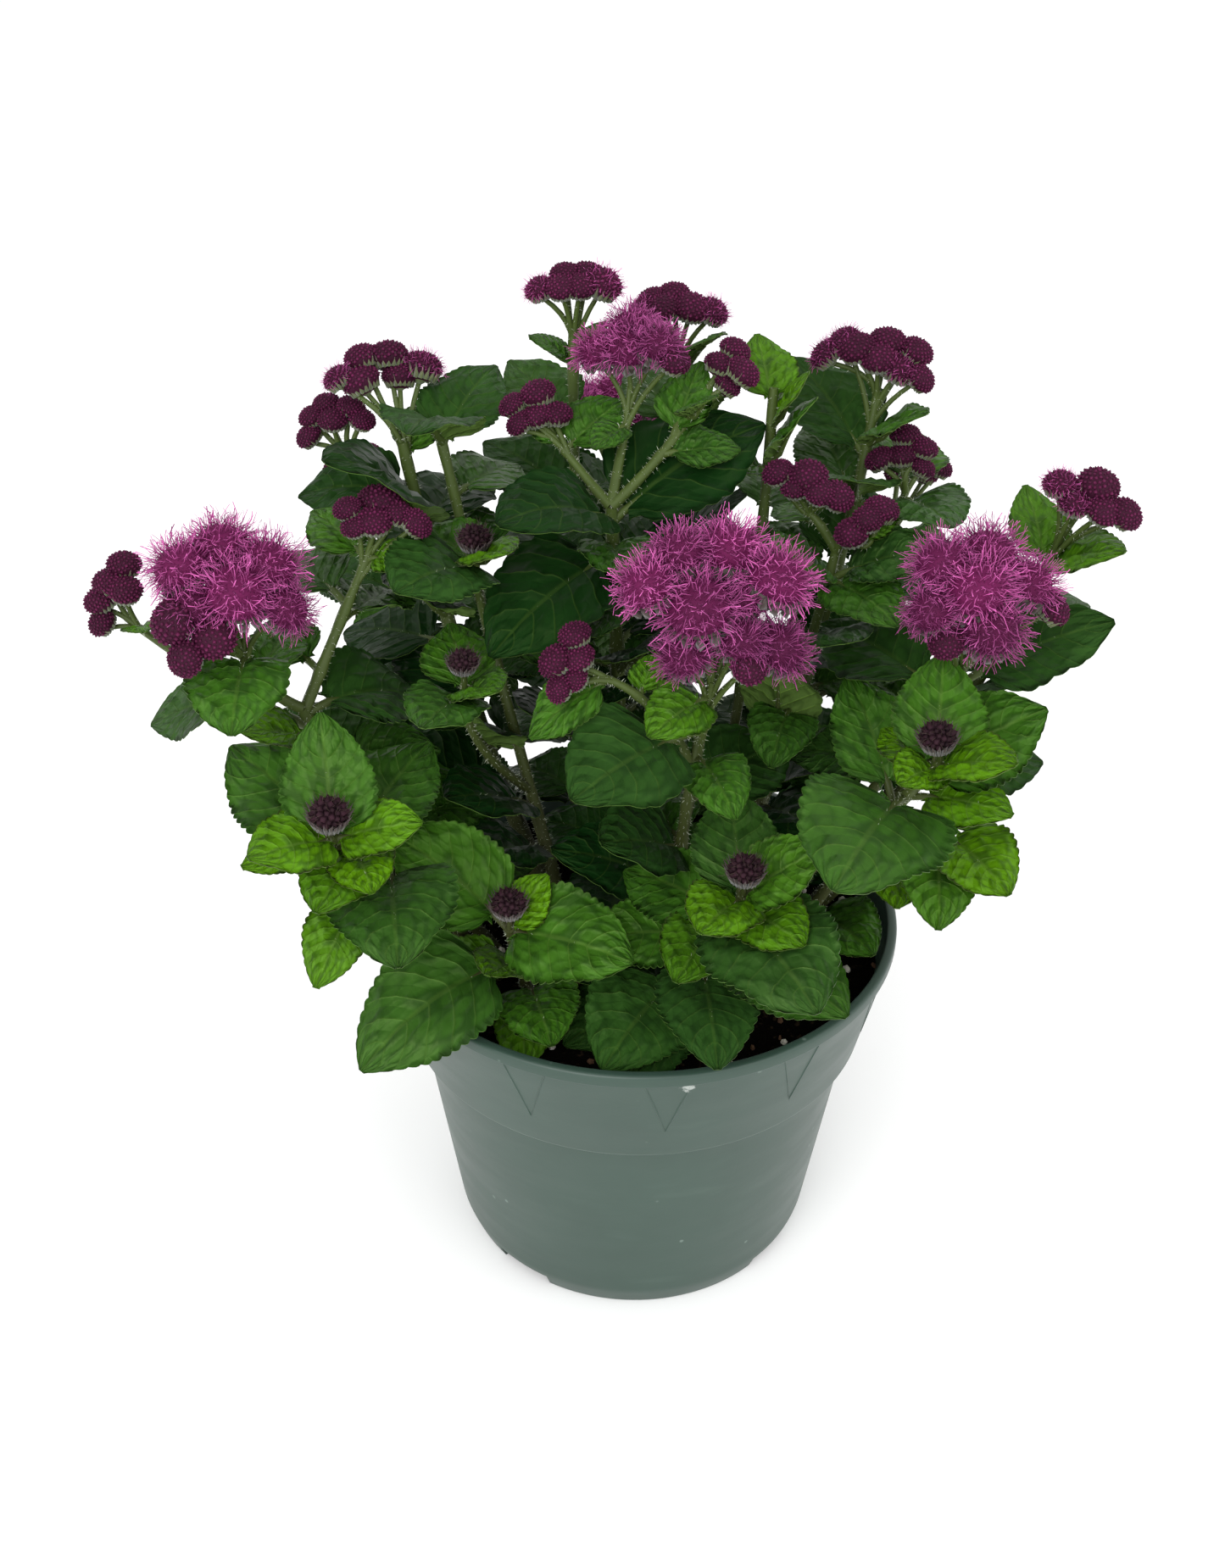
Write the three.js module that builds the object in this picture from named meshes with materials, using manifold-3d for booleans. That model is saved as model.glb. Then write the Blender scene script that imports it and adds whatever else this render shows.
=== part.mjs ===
// A potted ageratum: a nursery pot, its soil, branching stems with toothed oval leaves,
// and clusters of small round flower heads, some in bud and some open.
// Millimetres, +Z up. The origin is the middle of the pot's base, and -Y is the front.

import * as THREE from "three";
import { mergeVertices } from "three/addons/utils/BufferGeometryUtils.js";
import Module from "manifold-3d";

const wasm = await Module();
wasm.setup();

// ---- Pot and soil ----
const POT_HEIGHT = 116.5;
const RIM_RADIUS = 80;
const LIP_HEIGHT = 4;
const LIP_STEP = 1.2;
const COLLAR_BOTTOM_RADIUS = 72;
const COLLAR_BOTTOM_HEIGHT = 79.5;
const COLLAR_STEP_HEIGHT = 1.4;
const BODY_TOP_RADIUS = 68.6;
const HEEL_RADIUS = 58.6;
const HEEL_HEIGHT = 7;
const FOOT_RADIUS = 56;
const FLOOR_THICKNESS = 2;
const WALL = 1.6;
const POT_SIDES = 28;
const DRAIN_COUNT = 4;
const DRAIN_WIDTH = 19;
const DRAIN_HEIGHT = 5;
const DRAIN_DEPTH = 14;
const DRAIN_TURN = -38;
const SOIL_HEIGHT = 105;
const SOIL_SIDES = 16;
const SOIL_LUMP = 1.6;
const SOIL_LUMP_SPAN = 3.4;
const SOIL_SHRINK = 0.9;
const SOIL_EDGE_DROP = 2;
const SOIL_EDGE_WIDTH = 12;
const SOIL_CROWN = 1;
const SHOULDER_HEIGHT = 73.5;

// ---- Stems ----
const GAP = 0.3;
const ROOT_DEPTH = 8;
const STEM_SIDES = 4;
const STEM_STEPS = 4;
const BRANCH_STEPS = 3;

// ---- Leaves: stalk, blade with pointed teeth, and the ways one may be bent clear ----
const STALK_HALF_WIDTH = 1.1;
const STALK_THICKNESS = 1.8;
const BLADE_HALF_THICKNESS = 0.5;
const BASAL_POWER = 0.38;
const TIP_POWER = 0.8;
const SHAPE_PEAK = 0.4764;
const TOOTH_NOTCH = 0.87;
const CUP = 0.28;
const CUP_FADE = 1.6;
const LARGE_BLADE = 38;
const MIDDLE_BLADE = 34;
const LIGHT_TILT = 25;
const LEAF_CLEARANCE = 0.6;
const LEAF_SIZES = [1, 0.85, 0.7];
const LEAF_TURNS = [0, 6, -6, 12, -12, 18, -18, 24, -24, 30, -30];
const LEAF_LIFTS = [0, 6, -6, 12, -12, 18, -18, 24, -24];

// ---- Flower heads, in shares of a head's radius ----
const BUD_PROFILE = [[0, -0.8], [0.88, -0.38], [1, 0.22], [0, 0.74]];
const BUD_DEPTH = 0.8;
const BUD_SIDES = 6;
const BUD_FLUTE = 0.86;
const OPEN_CORE = 0.72;
const OPEN_TUFT = 1.1;
const YOUNG_CORE = 0.78;
const YOUNG_TUFT = 0.95;
const TUFT_LOW = -0.15;

// ---- The stalks of the heads ----
const PEDICEL_RADIUS = 0.9;
const PEDICEL_SIDES = 3;
const PEDICEL_START = 0.99;
const PEDICEL_PITCH = 1.9;
const FAN_DEPTH = 6;
const STALKED_HEADS = 2;

// Every shoot is one leafy stem with its branches. A stem runs from its root, or from a
// place along its parent, past a bend to its tip. A leaf row is: stem, place along it, compass
// direction in degrees, rise in degrees, stalk length, blade length, blade width, droop in
// degrees. A flower head is its centre and radius.
const SHOOTS = [
  {
    name: "rosette_front",
    stems: [
      { root: [-30, -28], bend: [-36, -40, 128], tip: [-36, -50, 144], radius: 2.0 },
    ],
    leaves: [
      [0, 0.5, -141, 17, 12, 46, 37, 60],
      [0, 0.93, -28, 18, 3, 36, 32, 25],
      [0, 0.94, 165, 45, 8, 37, 32, 25],
      [0, 0.97, 62, 61, 2, 20, 19, 20],
      [0, 0.2, -91, 11, 8, 24, 19, 40],
      [0, 0.25, -76, 26, 8, 28, 25, 35],
      [0, 0.4, -109, 51, 6, 24, 21, 35],
      [0, 0.5, 157, 0, 6, 24, 19, 30],
    ],
    flowers: [
      {
        name: "young_front",
        stem: 0,
        kind: "young",
        heads: [
          [-36, -52, 154, 5.5],
        ],
      },
    ],
  },
  {
    name: "rosette_left",
    stems: [
      { root: [-38, -22], bend: [-64, -34, 155], tip: [-82, -58, 179], radius: 2.0 },
    ],
    leaves: [
      [0, 0.97, 141, 29, 4, 38, 33, 20],
      [0, 0.97, 103, 46, 3, 31, 26, 20],
      [0, 0.97, -10, 47, 3, 23, 20, 20],
      [0, 0.97, -136, 30, 3, 24, 23, 20],
      [0, 0.88, 60, 32, 6, 34, 30, 25],
      [0, 0.86, -71, 18, 4, 20, 19, 30],
      [0, 0.8, -108, 31, 6, 24, 23, 35],
      [0, 0.66, -69, 19, 8, 36, 36, 40],
      [0, 0.86, -148, 18, 14, 18, 14, 30],
      [0, 0.7, -112, -1, 18, 24, 19, 40],
    ],
    flowers: [
      {
        name: "young_left",
        stem: 0,
        kind: "young",
        heads: [
          [-81, -60, 188, 6],
        ],
      },
    ],
  },
  {
    name: "rosette_middle",
    stems: [
      { root: [6, -30], bend: [20, -40, 132], tip: [27, -60, 163], radius: 2.0 },
    ],
    leaves: [
      [0, 0.97, 94, 39, 3, 31, 26, 20],
      [0, 0.97, -6, 51, 3, 25, 23, 20],
      [0, 0.97, -118, 23, 3, 24, 22, 20],
      [0, 0.88, -54, 25, 5, 24, 23, 30],
      [0, 0.82, -65, 27, 8, 40, 38, 40],
      [0, 0.7, -115, 26, 6, 26, 23, 40],
      [0, 0.6, -42, 18, 10, 38, 32, 40],
      [0, 0.45, -86, 21, 12, 36, 30, 45],
      [0, 0.3, -124, 15, 10, 34, 35, 45],
      [0, 0.15, -143, 4, 8, 32, 28, 45],
      [0, 0.55, -177, 36, 6, 20, 16, 30],
      [0, 0.8, 125, 15, 6, 30, 28, 30],
      [0, 0.6, 175, 26, 8, 28, 25, 35],
      [0, 0.2, -103, 23, 12, 32, 28, 45],
    ],
    flowers: [
      {
        name: "young_middle",
        stem: 0,
        kind: "young",
        heads: [
          [27, -62, 173, 5.5],
        ],
      },
    ],
  },
  {
    name: "rosette_right",
    stems: [
      { root: [38, -14], bend: [62, -26, 160], tip: [77, -50, 199], radius: 2.0 },
    ],
    leaves: [
      [0, 0.97, 81, 41, 3, 29, 26, 20],
      [0, 0.97, -50, 37, 3, 25, 22, 20],
      [0, 0.97, 119, 16, 3, 20, 19, 20],
      [0, 0.97, -131, 20, 2, 16, 16, 20],
      [0, 0.84, 13, 45, 8, 34, 32, 30],
      [0, 0.8, -37, 27, 8, 24, 21, 30],
      [0, 0.8, -118, 19, 10, 42, 42, 35],
      [0, 0.74, 114, 58, 8, 32, 26, 30],
    ],
    flowers: [
      {
        name: "young_right",
        stem: 0,
        kind: "young",
        heads: [
          [75, -52, 208, 5.5],
        ],
      },
    ],
  },
  {
    name: "leafy_stem_low_right",
    stems: [
      { root: [46, 2], bend: [66, -4, 140], tip: [89, -22, 158], radius: 1.8 },
    ],
    leaves: [
      [0, 0.97, -60, 8, 4, 25, 26, 30],
      [0, 0.93, -96, 6, 5, 28, 24, 40],
      [0, 0.95, 50, 21, 4, 22, 19, 25],
      [0, 0.7, -97, 25, 8, 24, 19, 30],
      [0, 0.2, -68, 31, 6, 28, 25, 40],
    ],
    flowers: [
    ],
  },
  {
    name: "bloom_stem_middle",
    stems: [
      { root: [10, -12], bend: [10, -30, 165], tip: [18, -38, 216], radius: 2.0 },
      { parent: 0, from: 0.72, bend: [2, -42, 216], tip: [-12, -38, 217], radius: 1.5 },
    ],
    leaves: [
      [0, 0.84, -134, 15, 15, 34, 35, 30],
      [0, 0.95, -133, 7, 4, 20, 19, 25],
      [0, 0.6, 41, 23, 8, 32, 29, 30],
      [1, 0.9, -143, -6, 3, 23, 18, 30],
      [0, 0.45, -143, 32, 4, 28, 30, 25],
      [0, 0.3, -164, 48, 10, 34, 27, 35],
      [1, 0.6, 67, 42, 2, 12, 10, 20],
      [0, 0.1, -120, 10, 12, 32, 29, 35],
    ],
    flowers: [
      {
        name: "bloom_middle",
        stem: 0,
        kind: "open",
        heads: [
          [13, -44, 240, 11.5], [0, -42, 245, 9], [8, -34, 250, 9], [21, -30, 249, 10.5],
          [33, -36, 244, 10.5], [10, -46, 228, 8], [34, -42, 228, 9], [24, -46, 232, 7.5],
          [26, -49, 226, 5],
        ],
      },
      {
        name: "cluster_small",
        stem: 1,
        kind: "bud",
        heads: [
          [-18, -36, 228, 4.5], [-23, -39, 222, 5], [-17, -39, 223, 4.5], [-18, -41, 218, 4],
          [-22, -43, 216, 4],
        ],
      },
    ],
  },
  {
    name: "bloom_stem_right",
    stems: [
      { root: [34, 0], bend: [72, -4, 165], tip: [87, -28, 220], radius: 2.0 },
    ],
    leaves: [
      [0, 0.84, 132, 24, 10, 36, 34, 35],
      [0, 0.84, -3, 45, 14, 36, 29, 30],
      [0, 0.62, 75, 29, 8, 30, 25, 35],
      [0, 0.14, 12, 35, 12, 32, 28, 35],
    ],
    flowers: [
      {
        name: "bloom_right",
        stem: 0,
        kind: "open",
        heads: [
          [84, -34, 241, 11], [76, -28, 245, 9.5], [88, -24, 246, 10], [99, -26, 239, 9],
          [73, -36, 236, 8], [88, -38, 232, 10], [106, -26, 232, 5.5], [77, -40, 229, 5],
        ],
      },
    ],
  },
  {
    name: "bloom_stem_left",
    stems: [
      { root: [-40, -6], bend: [-80, -14, 160], tip: [-92, -28, 201], radius: 2.2 },
      { parent: 0, from: 1, bend: [-102, -32, 208], tip: [-107, -30, 224], radius: 1.7 },
      { parent: 0, from: 0.98, bend: [-85, -20, 214], tip: [-72, -12, 242], radius: 1.7 },
      { parent: 0, from: 0.9, bend: [-124, -5, 197], tip: [-146, 5, 211], radius: 1.5 },
    ],
    leaves: [
      [1, 0.8, -88, 3, 4, 26, 28, 35],
      [1, 0.35, 170, -6, 14, 26, 25, 30],
      [0, 0.97, 39, 17, 8, 38, 30, 70],
      [1, 0.55, 77, 24, 4, 20, 18, 25],
      [2, 0.3, 136, 21, 6, 22, 18, 25],
      [0, 0.62, 140, 50, 8, 30, 29, 50],
      [0, 0.4, 150, 45, 8, 30, 29, 50],
      [0, 0.85, -141, 37, 8, 20, 16, 20],
      [2, 0.93, -23, 18, 3, 14, 13, 20],
      [2, 0.93, 132, 25, 4, 22, 19, 25],
      [2, 0.7, 130, 18, 8, 28, 22, 30],
      [2, 0.6, 71, 4, 8, 28, 26, 30],
      [3, 0.9, -70, 39, 3, 14, 12, 30],
    ],
    flowers: [
      {
        name: "bloom_left",
        stem: 1,
        kind: "open",
        heads: [
          [-104, -36, 239, 11], [-118, -32, 244, 9.5], [-109, -24, 246, 10], [-97, -28, 243, 10],
          [-92, -34, 234, 8], [-115, -38, 236, 8.5], [-119, -42, 234, 6.5], [-109, -43, 230, 6],
          [-116, -47, 226, 5],
        ],
      },
      {
        name: "cluster_left",
        stem: 2,
        kind: "bud",
        heads: [
          [-78, -12, 252, 4], [-70, -7, 252, 6], [-71, -13, 249, 5], [-76, -14, 248, 4],
          [-65, -10, 250, 4.5], [-60, -12, 248, 4.5],
        ],
      },
      {
        name: "cluster_far_left",
        stem: 3,
        kind: "bud",
        heads: [
          [-145, 8, 226, 5], [-149, 5, 222, 5], [-152, 4, 217, 5], [-144, 2, 221, 5],
          [-152, 2, 211, 4.5],
        ],
      },
    ],
  },
  {
    name: "bud_stem_upper_left",
    stems: [
      { root: [-24, 8], bend: [-52, 8, 180], tip: [-66, 15, 260], radius: 2.2 },
      { parent: 0, from: 0.88, bend: [-78, 22, 250], tip: [-85, 25, 254], radius: 1.5 },
    ],
    leaves: [
      [0, 0.84, -137, 51, 6, 42, 34, 65],
      [0, 0.9, 167, 18, 6, 30, 25, 45],
      [0, 0.84, 73, 20, 8, 32, 28, 35],
      [0, 0.97, 54, 56, 3, 18, 14, 25],
      [0, 0.68, -112, 56, 4, 30, 29, 35],
      [0, 0.62, 148, 9, 10, 34, 29, 35],
      [0, 0.52, 148, 7, 10, 34, 28, 30],
      [0, 0.4, -103, 60, 8, 34, 32, 30],
      [0, 0.14, 170, 20, 12, 34, 30, 35],
      [0, 0.32, 165, 25, 10, 34, 30, 35],
      [0, 0.5, 140, 50, 8, 30, 29, 50],
      [0, 0.7, 115, 50, 8, 30, 28, 50],
    ],
    flowers: [
      {
        name: "cluster_upper_left",
        stem: 0,
        kind: "bud",
        heads: [
          [-83, 20, 276, 4.5], [-77, 21, 275, 5.5], [-67, 25, 275, 5], [-61, 27, 277, 6],
          [-77, 25, 280, 5], [-70, 27, 280, 5.5],
        ],
      },
      {
        name: "cluster_left_back",
        stem: 1,
        kind: "bud",
        heads: [
          [-92, 26, 263, 4], [-86, 24, 263, 4.5], [-88, 28, 266, 4], [-81, 26, 266, 4],
          [-93, 24, 258, 4], [-78, 24, 263, 4],
        ],
      },
    ],
  },
  {
    name: "leafy_stem_left",
    stems: [
      { root: [-18, -6], bend: [-40, 0, 190], tip: [-56, 15, 264], radius: 2.0 },
      { parent: 0, from: 0.6, bend: [-46, -6, 227], tip: [-45, -10, 236], radius: 1.5 },
      { parent: 0, from: 0.34, bend: [-51, -20, 185], tip: [-47, -34, 211], radius: 1.5 },
    ],
    leaves: [
      [0, 0.97, -99, 60, 3, 34, 28, 70],
      [0, 0.97, 63, 27, 3, 30, 24, 40],
      [0, 0.88, 58, 13, 5, 26, 23, 30],
      [0, 0.74, 131, 10, 6, 28, 25, 30],
      [1, 0.97, 130, 33, 3, 24, 21, 25],
      [1, 0.97, -58, 42, 3, 20, 18, 25],
      [1, 0.9, -122, 28, 5, 30, 32, 35],
      [2, 0.95, 104, 35, 3, 22, 21, 25],
      [2, 0.95, -55, 40, 3, 18, 17, 25],
      [2, 0.9, -106, 42, 5, 26, 23, 30],
      [0, 0.3, -127, 47, 12, 34, 28, 30],
      [0, 0.22, -121, 43, 12, 30, 25, 30],
      [0, 0.12, -75, 22, 14, 34, 30, 35],
    ],
    flowers: [
      {
        name: "young_left_top",
        stem: 1,
        kind: "young",
        heads: [
          [-45, -12, 244, 5],
        ],
      },
      {
        name: "young_left_low",
        stem: 2,
        kind: "young",
        heads: [
          [-47, -36, 220, 4.5],
        ],
      },
    ],
  },
  {
    name: "bud_stem_top",
    stems: [
      { root: [-4, 4], bend: [-6, 2, 190], tip: [-9, 0, 248], radius: 2.2 },
      { parent: 0, from: 1, bend: [-16, 8, 253], tip: [-24, 15, 261], radius: 1.6 },
      { parent: 0, from: 1, bend: [-7, 10, 258], tip: [-4, 18, 270], radius: 1.6 },
      { parent: 0, from: 1, bend: [4, 8, 258], tip: [13, 16, 269], radius: 1.6 },
    ],
    leaves: [
      [0, 0.96, 27, 29, 6, 46, 37, 35],
      [0, 0.96, -135, 41, 6, 38, 30, 50],
      [0, 0.88, -132, 14, 8, 42, 34, 35],
      [0, 0.9, -85, 26, 3, 24, 21, 35],
      [0, 0.8, -101, 14, 5, 24, 19, 30],
      [1, 0.85, 31, 43, 3, 19, 19, 25],
      [3, 0.9, -61, 52, 3, 14, 13, 25],
      [3, 0.7, 37, 74, 4, 20, 16, 20],
      [3, 0.55, 1, 29, 4, 18, 16, 25],
      [1, 0.9, 157, 63, 3, 18, 14, 20],
      [2, 0.8, -121, 9, 3, 14, 11, 25],
      [0, 0.9, -40, 42, 8, 32, 26, 35],
      [0, 0.84, 126, 8, 6, 30, 28, 30],
      [0, 0.84, 58, 8, 6, 30, 28, 30],
      [0, 0.66, 67, 13, 8, 30, 25, 30],
      [0, 0.6, -64, 53, 10, 30, 25, 30],
      [0, 0.14, -78, 20, 12, 36, 32, 35],
      [0, 0.32, -73, 63, 8, 34, 32, 35],
      [0, 0.45, -131, 61, 8, 34, 32, 30],
      [0, 0.38, -132, 45, 8, 30, 28, 30],
      [0, 0.58, -104, 35, 8, 30, 28, 30],
      [0, 0.5, 62, 7, 8, 32, 30, 30],
    ],
    flowers: [
      {
        name: "cluster_top_left",
        stem: 1,
        kind: "bud",
        heads: [
          [-29, 18, 273, 5], [-29, 15, 268, 4.5], [-34, 14, 266, 4], [-36, 17, 270, 4],
          [-24, 16, 268, 4.5],
        ],
      },
      {
        name: "bloom_top",
        stem: 2,
        kind: "open",
        heads: [
          [-5, 18, 285, 8.5], [3, 16, 287, 7.5], [-13, 20, 284, 7], [-4, 24, 289, 7.5],
          [7, 14, 284, 5],
        ],
      },
      {
        name: "cluster_top_right",
        stem: 3,
        kind: "bud",
        heads: [
          [20, 22, 280, 4.5], [26, 19, 279, 5], [24, 25, 283, 4.5], [22, 20, 275, 4],
        ],
      },
    ],
  },
  {
    name: "bud_stem_back_left",
    stems: [
      { root: [-14, 22], bend: [-20, 30, 200], tip: [-20, 38, 283], radius: 2.0 },
    ],
    leaves: [
      [0, 0.95, -159, 51, 2, 14, 10, 30],
      [0, 0.95, 20, 58, 2, 13, 10, 20],
      [0, 0.84, 132, 37, 6, 26, 23, 25],
      [0, 0.72, 140, 32, 8, 30, 25, 35],
      [0, 0.72, 57, 12, 8, 30, 25, 35],
      [0, 0.6, 124, 22, 8, 32, 29, 30],
      [0, 0.56, 120, 50, 8, 30, 29, 50],
      [0, 0.7, 135, 50, 8, 30, 28, 50],
      [0, 0.16, 115, 15, 12, 34, 30, 35],
      [0, 0.42, 150, 20, 10, 34, 30, 35],
      [0, 0.3, -126, 45, 8, 34, 32, 30],
    ],
    flowers: [
      {
        name: "cluster_top",
        stem: 0,
        kind: "bud",
        heads: [
          [-29, 36, 296, 4.5], [-23, 34, 297, 4.5], [-18, 35, 297, 4.5], [-12, 38, 297, 6],
          [-22, 39, 299, 4.5], [-16, 40, 299, 4.5],
        ],
      },
    ],
  },
  {
    name: "bud_stem_back_right",
    stems: [
      { root: [8, 26], bend: [10, 38, 200], tip: [10, 52, 276], radius: 2.0 },
    ],
    leaves: [
      [0, 0.8, -61, 56, 8, 28, 23, 30],
      [0, 0.84, 117, 36, 6, 26, 21, 30],
      [0, 0.95, -62, 48, 4, 24, 19, 20],
      [0, 0.6, -40, 65, 8, 32, 29, 30],
      [0, 0.56, 65, 50, 8, 30, 29, 50],
      [0, 0.7, 50, 50, 8, 30, 28, 50],
      [0, 0.16, 60, 15, 12, 34, 30, 35],
      [0, 0.42, 35, 20, 10, 34, 30, 35],
    ],
    flowers: [
      {
        name: "cluster_back_top",
        stem: 0,
        kind: "bud",
        heads: [
          [-1, 50, 286, 4.5], [5, 49, 287, 5], [13, 50, 287, 5.5], [19, 50, 286, 5],
          [8, 55, 289, 5], [2, 54, 288, 4.5],
        ],
      },
    ],
  },
  {
    name: "leafy_stem_right",
    stems: [
      { root: [18, 14], bend: [34, 14, 190], tip: [35, 24, 273], radius: 1.8 },
    ],
    leaves: [
      [0, 0.97, 103, 50, 3, 20, 18, 20],
      [0, 0.93, -28, 89, 3, 18, 15, 20],
      [0, 0.86, -121, 61, 5, 24, 21, 30],
      [0, 0.86, -38, 75, 5, 24, 19, 30],
      [0, 0.66, 55, 29, 6, 28, 24, 30],
      [0, 0.78, 108, 11, 6, 28, 23, 30],
      [0, 0.5, -111, 68, 8, 34, 32, 30],
    ],
    flowers: [
    ],
  },
  {
    name: "bud_stem_upper_right",
    stems: [
      { root: [26, 20], bend: [56, 22, 190], tip: [66, 40, 267], radius: 2.0 },
      { parent: 0, from: 0.8, bend: [78, 30, 233], tip: [74, 28, 245], radius: 1.5 },
    ],
    leaves: [
      [0, 0.88, 124, 44, 5, 36, 29, 30],
      [0, 0.8, 109, 39, 8, 28, 25, 30],
      [1, 0.85, 79, 51, 5, 23, 23, 20],
      [0, 0.9, -54, 46, 4, 24, 21, 30],
      [1, 0.6, -77, 27, 8, 30, 25, 30],
      [0, 0.8, -97, 38, 6, 28, 25, 35],
      [0, 0.5, -50, 54, 8, 34, 32, 30],
      [0, 0.14, 15, 20, 12, 34, 30, 35],
      [0, 0.3, -56, 45, 8, 34, 32, 30],
      [0, 0.5, 35, 50, 8, 30, 29, 50],
      [0, 0.66, 75, 50, 8, 30, 28, 50],
    ],
    flowers: [
      {
        name: "cluster_upper_right",
        stem: 0,
        kind: "bud",
        heads: [
          [51, 44, 276, 5], [59, 40, 279, 5.5], [65, 38, 277, 5.5], [71, 38, 274, 5.5],
          [76, 41, 278, 5], [77, 36, 272, 4.5], [56, 44, 280, 5], [68, 43, 280, 5.5],
        ],
      },
      {
        name: "cluster_right_back",
        stem: 1,
        kind: "bud",
        heads: [
          [79, 32, 253, 4.5], [73, 31, 251, 4.5], [74, 34, 256, 4.5], [67, 31, 250, 4.5],
          [79, 30, 248, 4],
        ],
      },
    ],
  },
  {
    name: "bud_stem_far_right",
    stems: [
      { root: [48, 10], bend: [98, 8, 180], tip: [113, 4, 235], radius: 2.0 },
    ],
    leaves: [
      [0, 0.95, -49, 41, 4, 23, 22, 25],
      [0, 0.95, 105, 56, 3, 22, 18, 25],
      [0, 0.75, 40, 16, 10, 30, 24, 35],
      [0, 0.55, -66, 60, 10, 32, 26, 35],
      [0, 0.4, 15, 15, 10, 34, 30, 35],
      [0, 0.6, 65, 50, 8, 30, 29, 50],
      [0, 0.3, 75, 45, 8, 30, 29, 50],
    ],
    flowers: [
      {
        name: "cluster_far_right",
        stem: 0,
        kind: "bud",
        heads: [
          [111, 2, 255, 5], [121, 1, 255, 6], [128, -4, 249, 5], [115, -1, 251, 5],
          [122, -4, 250, 5],
        ],
      },
    ],
  },
  {
    name: "bud_stem_right",
    stems: [
      { root: [22, -2], bend: [42, -4, 180], tip: [53, 4, 234], radius: 2.0 },
      { parent: 0, from: 1, bend: [46, 6, 245], tip: [45, 8, 243], radius: 1.5 },
      { parent: 0, from: 1, bend: [54, 2, 240], tip: [60, 0, 237], radius: 1.5 },
    ],
    leaves: [
      [0, 0.92, -141, 49, 5, 24, 21, 25],
      [0, 0.92, -22, 47, 8, 28, 22, 30],
      [0, 0.92, -60, 30, 6, 26, 23, 35],
      [2, 0.6, 22, 33, 4, 18, 14, 20],
      [1, 0.4, 132, 7, 4, 18, 16, 25],
      [0, 0.74, -79, 55, 8, 32, 28, 35],
      [0, 0.5, -104, 68, 8, 30, 25, 35],
      [0, 0.16, -62, 18, 12, 36, 32, 35],
      [0, 0.36, -68, 54, 8, 34, 32, 30],
    ],
    flowers: [
      {
        name: "cluster_right",
        stem: 1,
        kind: "bud",
        heads: [
          [36, 8, 255, 4.5], [44, 6, 255, 5.5], [52, 4, 250, 5], [41, 6, 252, 4.5],
          [47, 2, 252, 4.5],
        ],
      },
      {
        name: "cluster_right_low",
        stem: 2,
        kind: "bud",
        heads: [
          [64, 2, 247, 5], [56, -2, 242, 5], [60, -2, 246, 4.5],
        ],
      },
    ],
  },
  {
    name: "bud_stem_rear_left",
    stems: [
      { root: [-26, 26], bend: [-58, 50, 165], tip: [-84, 78, 206], radius: 2.0 },
    ],
    leaves: [
      [0, 0.95, 60, 40, 4, 24, 20, 25],
      [0, 0.95, -120, 30, 4, 24, 20, 25],
      [0, 0.78, 150, 20, 8, 34, 30, 35],
      [0, 0.78, -35, 30, 8, 30, 25, 30],
      [0, 0.55, 95, 15, 10, 34, 29, 35],
      [0, 0.55, -160, 0, 10, 32, 26, 35],
      [0, 0.33, 150, 12, 10, 34, 30, 35],
      [0, 0.36, 55, 15, 10, 34, 30, 35],
      [0, 0.66, 100, 50, 8, 30, 29, 50],
      [0, 0.45, 105, 45, 8, 30, 29, 50],
      [0, 0.2, 100, 45, 8, 30, 29, 50],
      [0, 0.5, -170, 45, 8, 30, 28, 50],
    ],
    flowers: [
      {
        name: "cluster_rear_left",
        stem: 0,
        kind: "bud",
        heads: [
          [-90, 84, 230, 4.5], [-82, 87, 225, 4.5], [-87, 88, 228, 4.5], [-95, 84, 228, 4.5],
          [-96, 79, 226, 4.5], [-89, 86, 223, 4.5],
        ],
      },
    ],
  },
  {
    name: "bloom_stem_rear",
    stems: [
      { root: [-4, 38], bend: [-6, 72, 165], tip: [-8, 102, 216], radius: 2.0 },
    ],
    leaves: [
      [0, 0.9, 20, 35, 8, 32, 26, 30],
      [0, 0.9, 165, 35, 8, 32, 26, 30],
      [0, 0.7, 95, 5, 10, 36, 31, 35],
      [0, 0.5, 20, 10, 10, 34, 28, 35],
      [0, 0.5, 165, 10, 10, 34, 28, 35],
      [0, 0.28, 115, 10, 10, 36, 31, 35],
      [0, 0.8, 90, 50, 6, 30, 28, 50],
      [0, 0.62, 50, 45, 8, 30, 29, 50],
      [0, 0.62, 135, 45, 8, 30, 29, 50],
      [0, 0.38, 75, 45, 8, 30, 29, 50],
      [0, 0.18, 90, 45, 8, 30, 29, 50],
    ],
    flowers: [
      {
        name: "bloom_rear",
        stem: 0,
        kind: "open",
        heads: [
          [-8, 106, 243, 8], [4, 106, 238, 8], [-4, 117, 238, 8], [-18, 112, 238, 8],
          [-18, 99, 238, 8], [-4, 106, 234, 8],
        ],
      },
    ],
  },
  {
    name: "bud_stem_rear_right",
    stems: [
      { root: [26, 30], bend: [58, 52, 165], tip: [82, 84, 204], radius: 2.0 },
    ],
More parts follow.
